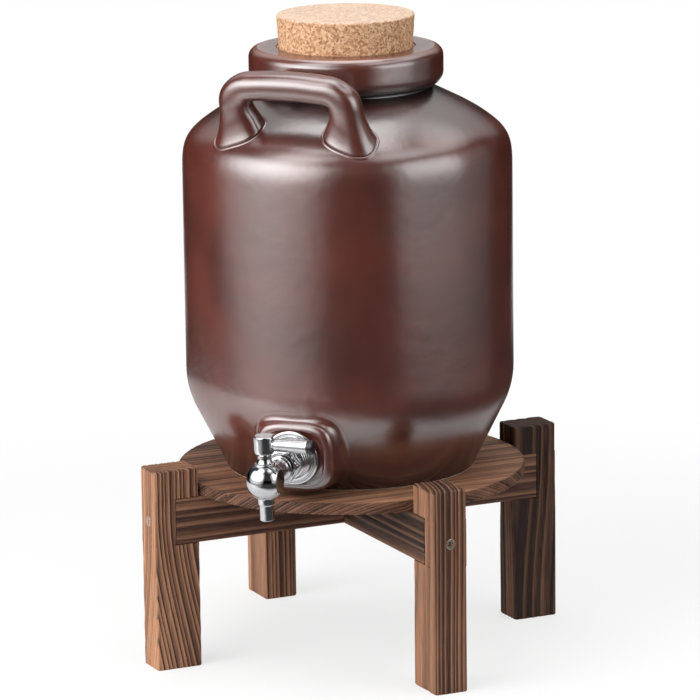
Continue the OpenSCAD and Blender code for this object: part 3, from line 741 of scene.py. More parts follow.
def on_wall(ring, near):
    """A ring followed back along the shank to the wall."""
    return ring + reach_wall(ring, OUT, near, 2)[:, None] * OUT


def pole(depth):
    """A ring that is one point on the shank's axis."""
    return np.repeat(on_shank(np.array([[0.0, 0.0, depth]])), PAD_SIDES + 1, axis=0)


edge_turn = np.radians(np.linspace(90, 0, 9))
face_rings = [pad_ring(grow, -BOSS_DISH * share) for grow, share in DISH_RINGS]
face_rings += [pad_ring(BOSS_EDGE * (np.cos(t) - 1), BOSS_EDGE * (np.sin(t) - 1)) for t in edge_turn]
foot_ring = on_wall(pad_ring(BOSS_DRAFT, 0.0), -45)
land_ring = on_wall(pad_ring(BOSS_DRAFT + BOSS_SWEEP, 0.0), -60)
bend = np.linspace(0, 1, 14)[1:, None, None]
sweep = (1 - bend) ** 2 * face_rings[-1] + 2 * bend * (1 - bend) * foot_ring + bend ** 2 * land_ring
under = land_ring - BOSS_UNDER * wall_normal(land_ring)
boss_sheet = np.stack([pole(-BOSS_DISH), *face_rings, *sweep, under, pole(BOSS_BACK)])
print("boss:", BOSS_W, "by", BOSS_H, "mm, sweeping", BOSS_SWEEP, "mm into the wall")

# %% [markdown]
# ### Handle
# The handle is a bent bar of clay that leans outwards, a little off the line of the tap. Its two legs
# flare where they are pressed onto the shoulder and end in a rolled lip, with a crease and a low welt of
# slip below. A curve with a round bevel would give the bar, but not these feet. So a rounded section is
# carried along the path as an array, and at the feet each line of the section is followed to the wall, so
# that lip and welt lie on the shoulder.

# %% Handle path and section
HANDLE_W, HANDLE_UP, HANDLE_BEND, HANDLE_OUT = 80.0, 37.0, 13.5, 83.0
HANDLE_BASE, HANDLE_LEAN, HANDLE_TURN = SHOULDER_H + 10.0, np.radians(15), np.radians(-4.5)
LEG_HALF, BEND_HALF, BAR_HALF = np.array([12.8, 9.7]), np.array([10.8, 9.6]), np.array([9.4, 9.5])
FLARE, FLARE_H, FLARE_POWER, LIP = np.array([5.2, 4.2]), 21.0, 2.6, 1.8
WELT_OUT, WELT_HIGH = (1.8, 1.0, 0.5, 0.0, -0.5, -1.0), (-1.2, 0.0, 0.35, 0.4, 0.1, -0.5)
BAR_SAG, BAR_ARCH = 0.5, 1.4
HANDLE_MARK, HANDLE_MARK_SIZE = 0.25, 13
SECTION_SIDES, SECTION_POWER = 96, 2.4
SECTION = superellipse(SECTION_SIDES, SECTION_POWER)

turn_cos, turn_sin = np.cos(HANDLE_TURN), np.sin(HANDLE_TURN)
lean_cos, lean_sin = np.cos(HANDLE_LEAN), np.sin(HANDLE_LEAN)
about = np.array([[turn_cos, turn_sin, 0.0], [-turn_sin, turn_cos, 0.0], UPRIGHT])
HANDLE_AXES = np.array([[1.0, 0.0, 0.0], [0.0, lean_cos, lean_sin], [0.0, -lean_sin, lean_cos]]) @ about
HANDLE_FOOT = np.array([0.0, -HANDLE_OUT, JAR_BASE + HANDLE_BASE]) @ about


def on_handle(points):
    """X runs along the bar, Z up the legs, with the origin between the feet."""
    return HANDLE_FOOT + points @ HANDLE_AXES


def foot_level(flat):
    """Height along the leg at which lines up from a flat outline leave the wall."""
    start = on_handle(np.column_stack([flat, 0 * flat[:, 0]]))
    return reach_wall(start, HANDLE_AXES[2], -45, 30)


print("handle:", HANDLE_W, "mm between its legs,", HANDLE_UP, "mm up to the bar")

# %% [markdown]
# A leg starts at a pole inside the wall, so that it is closed. The first rows above the wall lie close
# together, because the lip is small, and the rest are even.

# %% Handle legs
def leg_rings(side):
    """Rings of one leg, from a pole inside the wall over the welt and the lip to the bend. Near the wall the
    section grows by FLARE (1 - h / FLARE_H)^FLARE_POWER, and the lip rounds it in again."""
    middle = np.array([side * HANDLE_W / 2, 0.0])
    welt = []
    for out, high in zip(WELT_OUT, WELT_HIGH):
        flat = middle + SECTION * (LEG_HALF + FLARE + out)
        spot = on_handle(np.column_stack([flat, foot_level(flat)]))
        welt.append(spot + high * wall_normal(spot))
    start = np.broadcast_to(welt[0].mean(axis=0), welt[0].shape)
    foot = foot_level(middle + SECTION * (LEG_HALF + FLARE))
    top = HANDLE_UP - HANDLE_BEND
    rise = np.concatenate([[0, 0.008, 0.02, 0.04, 0.07], np.linspace(0.1, 1, 26)])[:, None]
    level = foot + (top - foot) * rise
    above = level - foot
    tuck = LIP * (1 - np.sqrt(1 - np.clip(1 - above / LIP, 0, 1) ** 2))
    flare = np.clip(1 - above / FLARE_H, 0, 1)[..., None] ** FLARE_POWER * FLARE - tuck[..., None]
    half = LEG_HALF + (BEND_HALF - LEG_HALF) * smooth_step(rise, 0.3, 1.0)
    shape = middle + SECTION * (half[:, None, :] + flare)
    leg = on_handle(np.concatenate([shape, level[..., None]], axis=-1))
    return np.concatenate([start[None], np.stack(welt), leg])


print("leg rings ready")

# %% [markdown]
# The bar bends into both legs. The path runs up the left leg and down the right one, so the right leg's
# rings come in reverse order with their section turned over. Last comes a slight unevenness, as on the
# barrel.

# %% Handle bar
def bar_rings():
    """Rings of both bends and the bar: quarter turns of the bend's radius, joined by a slightly arched
    line."""
    half = HANDLE_W / 2 - HANDLE_BEND
    quarter = np.radians(np.linspace(0, 90, 16)[1:])
    left = np.stack([-half - HANDLE_BEND * np.cos(quarter),
                     HANDLE_UP + HANDLE_BEND * (np.sin(quarter) - 1)], axis=1)
    left[:, 1] -= BAR_SAG * smooth_step(quarter, 0, np.pi / 2)
    span = np.linspace(-half, half, 20)[1:-1]
    bar = np.stack([span, HANDLE_UP - BAR_SAG + BAR_ARCH * (1 - (span / half) ** 2)], axis=1)
    spots = np.concatenate([left, bar, (left * [-1, 1])[::-1]])
    tilt = np.concatenate([quarter, np.full(len(bar), np.pi / 2), np.pi - quarter[::-1]])
    away = np.stack([np.cos(tilt), -np.sin(tilt)], axis=1)
    thick = BEND_HALF + (BAR_HALF - BEND_HALF) * smooth_step(np.sin(tilt), 0.3, 1.0)[:, None]
    flat = SECTION * thick[:, None, :]
    x = spots[:, None, 0] + away[:, None, 0] * flat[..., 0]
    z = spots[:, None, 1] + away[:, None, 1] * flat[..., 0]
    return on_handle(np.stack([x, flat[..., 1], z], axis=-1))


turned_over = (SECTION_SIDES // 2 - np.arange(SECTION_SIDES + 1)) % SECTION_SIDES
handle_sheet = np.concatenate([leg_rings(-1), bar_rings(), leg_rings(1)[::-1, turned_over]])
marks = HANDLE_MARK * soft_noise(handle_sheet, HANDLE_MARK_SIZE)
handle_sheet = handle_sheet + marks[..., None] * unit(HANDLE_AXES[1] + HANDLE_AXES[2])
print("handle:", handle_sheet.shape[0], "rings of", handle_sheet.shape[1], "points")

# %% [markdown]
# The barrel and the boss overlap inside the wall and make one piece; the handle is a piece of its own. Each
# point also gets the two numbers that the glaze reads. Thin-and-shade is above 0 on the collar's rim, where
# the glaze runs thin, and below 0 where painted shade goes: under the collar, at the foot and on the flat of
# the shoulder. Bare is 1 under the foot and where the cork sits.

# %% Jar
# The last two numbers on the next line are the strengths of the painted shade at the foot and on the flat of
# the shoulder.
RIM_THIN, FOOT_SHADE, FLAT_SHADE = 0.35, 0.7, 0.5


def jar_values(points, flat_shade):
    """Thin-and-shade and bare at each point. A place is a product of smooth steps of its height h and a bell
    or a step of its radius r, and thin-and-shade is the rim's share less the deeper of the painted shades."""
    r = from_axis(points)[0]
    h = points[..., 2] - JAR_BASE
    rim = np.exp(-((r - COLLAR_R + 5) / 3.5) ** 2) * smooth_step(h, MOUTH_H - 4, MOUTH_H - 0.5)
    # Painted shade under the collar and at the foot, and below it on the flat of the shoulder.
    neck_and_foot_shade = np.exp(-((r - NECK_R) / 14) ** 2) * smooth_step(h, NECK_H - 14, NECK_H - 5)
    neck_and_foot_shade = neck_and_foot_shade * (1 - smooth_step(h, UNDER_H + 3, UNDER_H + 10)) + FOOT_SHADE * (1 - smooth_step(h, 3, 30))
    flat = smooth_step(h, SHOULDER_H + 6, SHOULDER_H + 16) * (1 - smooth_step(h, UNDER_H, UNDER_H + 4))
    glaze_thin_and_shade = RIM_THIN * rim - np.maximum(neck_and_foot_shade, flat_shade * flat)
    seat = smooth_step(h, MOUTH_H - CORK_DEEP - 8, MOUTH_H - CORK_DEEP)
    seat = seat * (1 - smooth_step(r, MOUTH_R + 0.4, MOUTH_R + 1.8))
    return glaze_thin_and_shade, np.maximum(1 - smooth_step(h, 0.15, 1.2), seat)


JAR_PIECES = (("glazed_jar", "jar_body", [barrel_out, barrel_in, boss_sheet], FLAT_SHADE),
              ("glazed_handle", "jar_handle", [handle_sheet], 0.0))
for name, node, sheets, flat_shade in JAR_PIECES:
    values = zip(("glaze_thin_and_shade", "bare"), zip(*(jar_values(sheet, flat_shade) for sheet in sheets)))
    make_piece(name, sheets, "jar", node, iron_glaze, 60, values)

# %% [markdown]
# ## The cork
# The stopper is pressed cork: crumbs of a few millimetres in tans and browns, with a few dark crevices
# between them. It is a plain tapered plug, so the outline is short. Crumbs could be modelled one by one,
# but a Voronoi texture does it for less: it breaks a solid into cells of random tone.

# %% Cork finish
CORK_BROWN, CORK_DARK, CORK_MID = srgb(150, 100, 70), srgb(172, 122, 88), srgb(208, 162, 124)
# The second colour on the next line is a painted sheen for the cork's top face.
CORK_PALE, CORK_TOP_SHEEN, CREVICE = srgb(236, 198, 160), srgb(240, 230, 220), srgb(84, 48, 32)
CRUMB_SCALE, LUMP_SCALE, CREVICE_SCALE, FLECK_SCALE, CREVICE_PATCH = 800.0, 170.0, 300.0, 1500.0, 420.0
CRUMB_HIGH, TOP_SHEEN = 0.0004, 0.35
cork_low, cork_high = box_mm("cork_stopper")


def cork_finish():
    """Crumbs of random tone from Voronoi cells of two sizes, with dark crevices and a top painted paler as a
    painted sheen.
    """
    finish, tree, shader = new_finish("pressed_cork", Roughness=0.85, Specular_IOR_Level=0.25)
    place = object_place(tree)
    crumb = add(tree, "TexVoronoi", {"Vector": place, "Scale": CRUMB_SCALE})
    tone = add(tree, "SeparateColor", {0: crumb.outputs["Color"]}).outputs[0]
    tone = math_of(tree, "ADD", tone, scaled(tree, noise(tree, place, FLECK_SCALE, 2), 0.6, -0.3))
    colour = ramp(tree, tone, (0.0, CORK_BROWN), (0.16, CORK_DARK), (0.5, CORK_MID), (1.0, CORK_PALE))
    lump = add(tree, "TexVoronoi", {"Vector": place, "Scale": LUMP_SCALE})
    lump_tone = add(tree, "SeparateColor", {0: lump.outputs["Color"]}).outputs[1]
    colour = mix(tree, 0.14, colour, ramp(tree, lump_tone, (0.1, CORK_DARK), (0.6, CORK_PALE)))
    cells = {"Vector": place, "Scale": CREVICE_SCALE}
    edge = add(tree, "TexVoronoi", cells, feature="DISTANCE_TO_EDGE").outputs["Distance"]
    crevice = math_of(tree, "MULTIPLY", ramp(tree, edge, (0.0, grey(1.0)), (0.09, grey(0.0))),
                      ramp(tree, noise(tree, place, CREVICE_PATCH, 2), (0.65, grey(0.0)), (0.68, grey(1.0))))
    colour = mix(tree, crevice, colour, CREVICE)
    # Painted sheen: the top millimetre is mixed towards a pale colour.
    high = add(tree, "SeparateXYZ", {0: place}).outputs["Z"]
    top = {0: high, 1: (cork_high[2] - 1.0) * MM, 2: cork_high[2] * MM, 4: TOP_SHEEN}
    colour = mix(tree, add(tree, "MapRange", top).outputs[0], colour, CORK_TOP_SHEEN)
    tree.links.new(colour, shader["Base Color"])
    height = math_of(tree, "SUBTRACT", tone, crevice)
    tree.links.new(bump(tree, height, CRUMB_HIGH, 0.7), shader["Normal"])
    return finish


pressed_cork = cork_finish()
print("finish:", pressed_cork.name)

# %% [markdown]
# The plug is turned like the jar. Its side is pitted where crumbs have come out, by soft noise of two
# sizes. Its top and bottom stay flat.

# %% Cork
CORK_TOP_R, CORK_LOW_R, CORK_SIDES = 46.5, 43.5, 192
CRUMB_SIZE, CRUMB_GROUP, CRUMB_DEEP = 2.6, 6.0, 0.35
cork_corners = [(0, cork_low[2]), (CORK_LOW_R, cork_low[2]), (CORK_TOP_R, cork_high[2]), (0, cork_high[2])]
cork_sheet = turned(spaced(rounded(cork_corners, [0, 1.2, 1.4, 0], step=20), 1.2), CORK_SIDES)
crumbs = soft_noise(cork_sheet, CRUMB_SIZE) * 0.5 + soft_noise(cork_sheet + 50, CRUMB_GROUP) * 0.5
cork_r, outwards = from_axis(cork_sheet)
pitted = CRUMB_DEEP * np.clip(crumbs + 0.2, 0, 1) * smooth_step(cork_r, CORK_LOW_R - 4, CORK_LOW_R - 1)
cork_sheet = cork_sheet - pitted[..., None] * outwards
make_piece("cork_plug", [cork_sheet], "cork", "cork_stopper", pressed_cork, 50)

# %% [markdown]
# ## Charred, brushed cedar
# The stand's wood is scorched and then scrubbed with a wire brush. The brush digs the soft early wood of
# each growth ring out and leaves the hard late wood standing, so the surface is a row of ridges that
# follow the rings. A wood texture could colour flat boards, but these ridges catch the light and show
# along the edges. So the rings are worked out as in a tree: a point's distance from the pith line,
# counted in rings. Where a groove runs the surface drops by a third of a millimetre to a little over one,
# and the same number colours it.

# %% Growth rings
RING_TONES = np.random.default_rng(5).random(4096)
RING_PROFILE = ([0.0, 0.18, 0.45, 0.85, 1.0], [0.0, 1.0, 0.85, 0.5, 0.0])
RING_WAVER, WAVER_SIZE = 0.5, 16
FIBRE_APART = 400.0


def grain_of(seed, facing, ring, drift=0.0, span=(15.0, 110.0), depth=0.8, tone=0.5, pith=120.0, burn=1.0):
    """One piece's cut from the tree: which way its rings face, across and through the piece, how wide they
    are, how far they drift along the grain and between which heights, how deep the brush went, how pale the
    wood is, how far off the pith lies and how much char is left."""
    return dict(seed=seed, facing=unit(np.array(facing, dtype=float)), ring=ring, drift=drift, span=span,
                depth=depth, tone=tone, pith=pith, burn=burn)


def ring_count(spots, grain):
    """Rings counted from a pith line outside the piece, at spots given across, through and along the grain:
    (|p + pith facing| - pith + drift + waver) / ring, shifted so that each piece has numbers of its own."""
    away = np.linalg.norm(spots[..., :2] + grain["pith"] * grain["facing"], axis=-1) - grain["pith"]
    drift = grain["drift"] * (1 - smooth_step(spots[..., 2], *grain["span"]))
    waver = RING_WAVER * soft_noise(spots * [1, 1, 0.15] + 31 * grain["seed"], WAVER_SIZE)
    count = (away + drift + waver) / grain["ring"]
    return count + 0.22 * np.sin(1.7 * count + grain["seed"]) + 200 + 100 * grain["seed"]


def brushed(spots, inwards, grain, paler=0.0, charred=1.0):
    """Spots sunk along their inward directions by the brush, with the numbers that the finish reads: the
    ring count, the tone and the char. Over one ring the height rises steeply from the groove to the hard
    late wood and falls slowly over the soft early wood."""
    count = ring_count(spots, grain)
    number = np.floor(count)
    height = np.interp(count - number, *RING_PROFILE)
    strength = 0.5 + 0.5 * RING_TONES[number.astype(int) % len(RING_TONES)]
    sunk = spots + (grain["depth"] * strength * (1 - height))[..., None] * inwards
    fibre = (spots + FIBRE_APART * grain["seed"]) * MM
    parts = np.broadcast_arrays(count, grain["tone"] + paler, grain["burn"] * charred)
    return sunk, np.stack(parts, axis=-1), fibre


print("growth rings ready")

# %% [markdown]
# The finish reads the ring count and a set of coordinates that run along each piece's own grain, so that the
# fine fibres follow the wood and not the room. The fraction of the count says where in a ring a point lies:
# the groove is nearly black from the fire, the ridge beside it is tan, partly wood bared by the brush and
# partly a painted highlight, and the rest is brown.

# %% Wood finish
CHAR, DARK_WOOD, MID_WOOD, TAN = srgb(38, 22, 17), srgb(84, 55, 43), srgb(132, 92, 71), srgb(208, 155, 117)
FIBRE_STRETCH, FIBRE_SCALE, PATCH_SCALE = (1.0, 1.0, 0.035), 1600, 160
FIBRE_HIGH = 0.0003


def wood_finish():
    """Charred grooves, brown rings of random tone with long fine fibres, and a tan ridge beside each groove
    that is partly bared wood and partly a painted highlight."""
    finish, tree, shader = new_finish("stand_wood", Specular_IOR_Level=0.3)
    ring, tone, burn = add(tree, "SeparateXYZ", {0: attribute(tree, "numbers", "Vector")}).outputs
    along_grain = {0: attribute(tree, "fibre", "Vector"), 1: FIBRE_STRETCH}
    stretched = add(tree, "VectorMath", along_grain, operation="MULTIPLY").outputs[0]
    streak = noise(tree, stretched, FIBRE_SCALE, 3, 0.6)
    number, phase = math_of(tree, "FLOOR", ring), math_of(tree, "FRACT", ring)
    chance = add(tree, "TexWhiteNoise", {"W": number}, noise_dimensions="1D").outputs["Value"]
    light = math_of(tree, "ADD", tone, scaled(tree, chance, 0.4, -0.2))
    light = math_of(tree, "ADD", light, scaled(tree, streak, 0.7, -0.35))
    light = math_of(tree, "ADD", light, scaled(tree, noise(tree, stretched, PATCH_SCALE, 3), 0.5, -0.25))
    wood = ramp(tree, light, (0.0, CHAR), (0.18, DARK_WOOD), (0.5, MID_WOOD), (0.95, TAN))
    # Partly a painted highlight: a tan band along each ridge.
    ridge_tan_and_highlight = ramp(tree, phase, (0.12, grey(0.0)), (0.26, grey(0.45)), (0.58, grey(0.0)))
    wood = mix(tree, math_of(tree, "MULTIPLY", ridge_tan_and_highlight, burn), wood, TAN)
    groove = ramp(tree, phase, (0.0, grey(1.0)), (0.07, grey(0.95)), (0.17, grey(0.0)), (0.62, grey(0.0)),
                  (0.87, grey(0.35)), (0.96, grey(0.95)))
    burnt = math_of(tree, "MULTIPLY", groove, scaled(tree, chance, 0.3, 0.65))
    burnt = math_of(tree, "MULTIPLY", burnt, burn)
    tree.links.new(mix(tree, burnt, wood, CHAR), shader["Base Color"])
    tree.links.new(scaled(tree, streak, 0.25, 0.5), shader["Roughness"])
    tree.links.new(bump(tree, streak, FIBRE_HIGH, 0.6), shader["Normal"])
    return finish


stand_wood = wood_finish()
print("finish:", stand_wood.name)

# %% [markdown]
# Legs, rails and planks are all rows of closed rings. They share three helpers: one makes the piece, one
# closes its ends and one gives the directions of a diagonal, because the stand's cross is turned by 45
# degrees.

# %% Wooden pieces
def wood_piece(name, sheet, numbers, fibre):
    """A wooden piece that stands for the node of its name, with what the finish reads on each point."""
    values = [("numbers", [numbers]), ("fibre", [fibre])]
    make_piece(name, [sheet], "stand", name, stand_wood, 50, values)


def capped(sunk, numbers, fibre):
    """Rings closed at both ends by a pole in the middle of the first and of the last one."""
    first, last = (np.broadcast_to(ring.mean(axis=1, keepdims=True), ring.shape)
                   for ring in (sunk[:1], sunk[-1:]))
    numbers, fibre = (np.concatenate([v[:1], v, v[-1:]]) for v in (numbers, fibre))
    return np.concatenate([first, sunk, last]), numbers, fibre


def level_axes(angle):
    """Level unit vectors for an angle in degrees round the stand: outwards, and across it."""
    outwards = np.array([np.cos(np.radians(angle)), np.sin(np.radians(angle)), 0.0])
    return outwards, np.array([-outwards[1], outwards[0], 0.0])


print("wooden piece helpers ready")

# %% [markdown]
# ### Legs
# A leg is a squared post with a housing cut across it for the rail's end. A cube with a Boolean would do
# for planed wood, but the ridges of the brush need close points all round. So its section, a rectangle
# with softened corners, is carried up the leg, steps in at the housing and closes over the top in ever
# smaller rings.

# %% Posts
LEG_W, LEG_D, LEG_H, LEG_OUT, HOUSING = 24.0, 32.5, box_mm("leg_front_left")[1][2], 151.5, 17.0
RAIL_Z, RAIL_TOP = (corner[2] for corner in box_mm("rail_notched_above"))
SCREW_Z = (RAIL_Z + RAIL_TOP) / 2
LEG_ROUND, LEG_GAP, LEG_FOOT_ROWS, LEG_RAIL_ROWS, LEG_TOP_ROWS = 1.8, 0.42, 31, 14, 8
TOP_INSET, TOP_DROP, TOP_RINGS = (0.25, 0.7, 1.3), (0.75, 0.3, 0.0), 26
# Painted light: faces towards the main light at the front left are made paler and less charred.
LEFT_FRONT, LIT_SIDE_PAINTED_PALER, LIT_SIDE_PAINTED_LESS_CHAR, DARK_TOP = np.array([-1.0, -1.0, 0.0]) / np.sqrt(2), 0.22, 0.45, 0.1
FOOT_SHRINK = np.array([0.96, 0.97, 0.0])


def post_section(width, depth, radius, gap):
    """Rectangle with rounded corners, centred, and its outward directions. The first point comes again
    last."""
    half = np.array([width, depth]) / 2
    corners = [(half[0], 0), half, half * [-1, 1], -half, half * [1, -1], (half[0], 0)]
    line = spaced(rounded(corners, [0] + [radius] * 4 + [0], step=25), gap)
    core = np.clip(line, radius - half, half - radius)
    out = (line - core) / np.linalg.norm(line - core, axis=1, keepdims=True)
    return line, out


def post_rows(levels, line, out):
    """The section repeated at levels along the grain, with its inward directions."""
    rows = np.stack([np.column_stack([line, np.full(len(line), level)]) for level in levels])
    return rows, np.broadcast_to(-np.column_stack([out, 0 * out[:, 0]]), rows.shape)


def post_top(line, out):
    """Rings that round the top edge of a leg and close over it, with their inward direction, down."""
    edge = np.stack([np.column_stack([line - out * inset, np.full(len(line), LEG_H - drop)])
                     for inset, drop in zip(TOP_INSET, TOP_DROP)])
    shrink = np.linspace(1, 0, TOP_RINGS)[1:, None, None]
    over = np.concatenate([edge, edge[-1] * np.where([True, True, False], shrink, 1.0)])
    return over, np.broadcast_to(-UPRIGHT, over.shape)


print("legs:", LEG_W, "by", LEG_D, "mm,", round(float(LEG_H), 1), "mm high")

# %% [markdown]
# At the housing the rows of the post are drawn together towards its outer face. Each leg has its own cut from
# the tree. Faces to the front left, where the main light falls, are painted paler and less charred as painted
# light. The end grain on top is darker.

# %% Legs
def make_leg(name, angle, grain):
    """A leg at an angle round the stand, with its width across, its depth outwards and its grain upwards."""
    line, out = post_section(LEG_W, LEG_D, LEG_ROUND, LEG_GAP)
    levels = np.concatenate([[1.0], np.linspace(3, RAIL_Z, LEG_FOOT_ROWS - 1),
                             np.linspace(RAIL_Z, RAIL_TOP, LEG_RAIL_ROWS),
                             np.linspace(RAIL_TOP, LEG_H - 1.6, LEG_TOP_ROWS)])
    spots, inwards = (np.concatenate(pair) for pair in zip(post_rows(levels, line, out), post_top(line, out)))
    housed = slice(LEG_FOOT_ROWS, LEG_FOOT_ROWS + LEG_RAIL_ROWS)
    depth_in = spots[housed, :, 1] + LEG_D / 2
    spots[housed, :, 1] = HOUSING + depth_in * (LEG_D - HOUSING) / LEG_D - LEG_D / 2
    outwards, across = level_axes(angle)
    axes = np.stack([across, outwards, UPRIGHT])
    # Painted light: the share of each face that turns to the front left, where the main light falls.
    facing_left = np.clip(-inwards @ axes @ LEFT_FRONT, 0, 1)
    paler = LIT_SIDE_PAINTED_PALER * facing_left + DARK_TOP * inwards[..., 2]
    sunk, numbers, fibre = brushed(spots, inwards, grain, paler, 1 - LIT_SIDE_PAINTED_LESS_CHAR * facing_left)
    foot = sunk[:1] * FOOT_SHRINK
    foot_middle = np.broadcast_to(foot.mean(axis=1, keepdims=True), foot.shape)
    sunk = np.concatenate([foot_middle, foot, sunk])
    numbers, fibre = (np.concatenate([v[:1], v[:1], v]) for v in (numbers, fibre))
    wood_piece(name, sunk @ axes + outwards * (LEG_OUT - LEG_D / 2), numbers, fibre)


make_leg("leg_front_left", 225,
         grain_of(1, (0.7, 0.7), 2.3, 14.0, (-45.0, 108.0), depth=1.2, tone=0.42, burn=1.1))
make_leg("leg_front_right", 315, grain_of(2, (0.98, 0.2), 3.2, 1.0, tone=0.3, burn=0.8))
make_leg("leg_back_right", 45, grain_of(3, (0.9, 0.5), 4.4, 4.0, (0.0, 130.0), tone=-0.04, burn=0.35))
make_leg("leg_back_left", 135, grain_of(4, (0.98, 0.15), 3.4, 1.0, tone=0.38))

# %% [markdown]
# ### Rails
# The two rails cross under the board in a half lap: each loses half its height where the other passes. A
# Boolean could cut the lap, but it would break up the even rows that the brush works on. So the section
# is carried along the rail and its height is halved between the two steps of the lap.

# %% Rails
RAIL_HALF, RAIL_ROUND, RAIL_GAP, ARM_ROWS, LAP_ROWS = 136.0, 1.2, 0.5, 44, 8


def make_rail(name, angle, keeps_top, grain):
    """A rail along a diagonal, with its upper or lower half cut away at the lap."""
    height = RAIL_TOP - RAIL_Z
    arm = np.linspace(-RAIL_HALF, -LEG_W / 2, ARM_ROWS)
    levels = np.concatenate([arm, np.linspace(-LEG_W / 2, LEG_W / 2, LAP_ROWS), -arm[::-1]])
    spots, inwards = post_rows(levels, *post_section(LEG_W, height, RAIL_ROUND, RAIL_GAP))
    lap = slice(ARM_ROWS, ARM_ROWS + LAP_ROWS)
    spots[lap, :, 1] = spots[lap, :, 1] / 2 + (height / 4 if keeps_top else -height / 4)
    sunk, numbers, fibre = capped(*brushed(spots, inwards, grain))
    along, across = level_axes(angle)
    wood_piece(name, sunk @ np.stack([across, UPRIGHT, along]) + SCREW_Z * UPRIGHT, numbers, fibre)


make_rail("rail_notched_above", 45, False, grain_of(5, (0.15, 0.98), 6.6, depth=0.6, tone=0.36, burn=0.6))
make_rail("rail_notched_below", -45, True, grain_of(6, (-0.15, 0.98), 6.6, depth=0.6, tone=-0.07, burn=0.5))

# %% [markdown]
# ### Board
# Three planks lie edge to edge and are cut to one circle. A square grid cut by a circle would have a
# ragged rim. So for each line across the planks, a loop runs along the top to the rim, down the rim and
# back underneath; the loops side by side make the plank.

# %% Planks
board_low, board_high = box_mm("plank_middle")
BOARD_R, BOARD_T, PLANK_W, PLANK_GAP = 118.5, board_high[2] - board_low[2], 80.0, 0.2
BOARD_END = BOARD_R - 1.2
LOOP_POINTS, LOOP_GAP = 64, 0.5
RIM_ROUND, RIM_DARK = 1.1, 0.28
BOARD_CUT = dict(pith=400, burn=0.5)


def plank_loop():
    """Loop along a plank as shares: along from -1 to 1, height from 0 to 1, and the inset at the rim."""
    top = np.linspace(-1, 1, LOOP_POINTS)
    turn = np.radians([70, 45, 20])
    down = np.linspace(0.85, 0.15, 5)
    rim_in = RIM_ROUND * np.concatenate([1 - np.cos(turn), 0 * down, 1 - np.cos(turn[::-1])])
    rim_up = np.concatenate([1 - RIM_ROUND / BOARD_T * (1 - np.sin(turn)), down,
                             RIM_ROUND / BOARD_T * (1 - np.sin(turn[::-1]))])
    ones, flat = np.ones(len(rim_in)), np.ones(LOOP_POINTS)
    along = np.concatenate([top, ones, -top, -ones, top[:1]])
    up = np.concatenate([flat, rim_up, 0 * flat, rim_up[::-1], [1.0]])
    inset = np.concatenate([RIM_ROUND * flat, rim_in, RIM_ROUND * flat, rim_in, [RIM_ROUND]])
    return along, up, inset


def make_plank(name, start, stop, grain):
    """A plank between two lines across the board, with its grain along the lines."""
    across = np.linspace(start, stop, int((stop - start) / LOOP_GAP) + 1)[:, None]
    along_share, up_share, inset = plank_loop()
    reach = np.sqrt(np.maximum((BOARD_R - inset) ** 2 - across ** 2, 0))
    spots = np.stack(np.broadcast_arrays(across, up_share * BOARD_T, along_share * reach), axis=-1)
    rim = (inset < RIM_ROUND * 0.95)[None, :, None]
    flat = np.stack([0 * reach, np.broadcast_to(1 - 2 * up_share, reach.shape), 0 * reach], axis=-1)
    inwards = np.where(rim, -spots * [1, 0, 1] / BOARD_R, np.sign(flat))
    sunk, numbers, fibre = capped(*brushed(spots, inwards, grain, -RIM_DARK * rim[..., 0]))
    along, to_left = level_axes(45)
    wood_piece(name, sunk @ np.stack([-to_left, UPRIGHT, along]) + board_low[2] * UPRIGHT, numbers, fibre)


make_plank("plank_front_right", PLANK_W / 2 + PLANK_GAP, BOARD_END,
           grain_of(7, (0.5, -0.87), 1.7, tone=0.48, **BOARD_CUT))
make_plank("plank_middle", -PLANK_W / 2, PLANK_W / 2,
           grain_of(8, (0.45, -0.89), 1.6, tone=0.34, **BOARD_CUT))
make_plank("plank_back_left", -BOARD_END, -PLANK_W / 2 - PLANK_GAP,
           grain_of(9, (0.5, -0.87), 1.7, tone=0.24, **BOARD_CUT))

# %% [markdown]
# ### Screws
# Each leg is held by one countersunk screw with a cross recess. The head is turned like any round piece.
# A Boolean could cut the recess, but on something so small a formula is enough: the surface drops near
# two crossing lines.

# %% Screws
SCREW_R, SCREW_EDGE, SCREW_CONE, SCREW_SHANK_R, SCREW_L = 3.75, 0.25, 2.4, 2.0, 9.0
RECESS_HALF, RECESS_REACH, RECESS_DEEP, RECESS_SOFT = 0.55, 2.3, 1.1, 0.15
SCREW_TURN, SCREW_SUNK = np.radians(20), 0.05
AXIS_R = 0.01
ZINC_DARK, ZINC_PALE = srgb(150, 142, 130), srgb(205, 198, 186)
ZINC_SCALE = 1500


def steel_finish():
    """Zinc-coated steel with a faint mottle."""
    finish, tree, shader = new_finish("screw_steel", Metallic=1.0)
    mottle = noise(tree, object_place(tree), ZINC_SCALE, 3)
    tree.links.new(ramp(tree, mottle, (0.3, ZINC_DARK), (0.7, ZINC_PALE)), shader["Base Color"])
    tree.links.new(scaled(tree, mottle, 0.3, 0.2), shader["Roughness"])
    return finish


def recess_arm(along, aside):
    """1 on one arm of the cross and 0 beside it and past its end, with soft edges."""
    beside = smooth_step(aside, RECESS_HALF - RECESS_SOFT, RECESS_HALF + RECESS_SOFT)
    return (1 - beside) * (1 - smooth_step(along, RECESS_REACH - 0.5, RECESS_REACH))


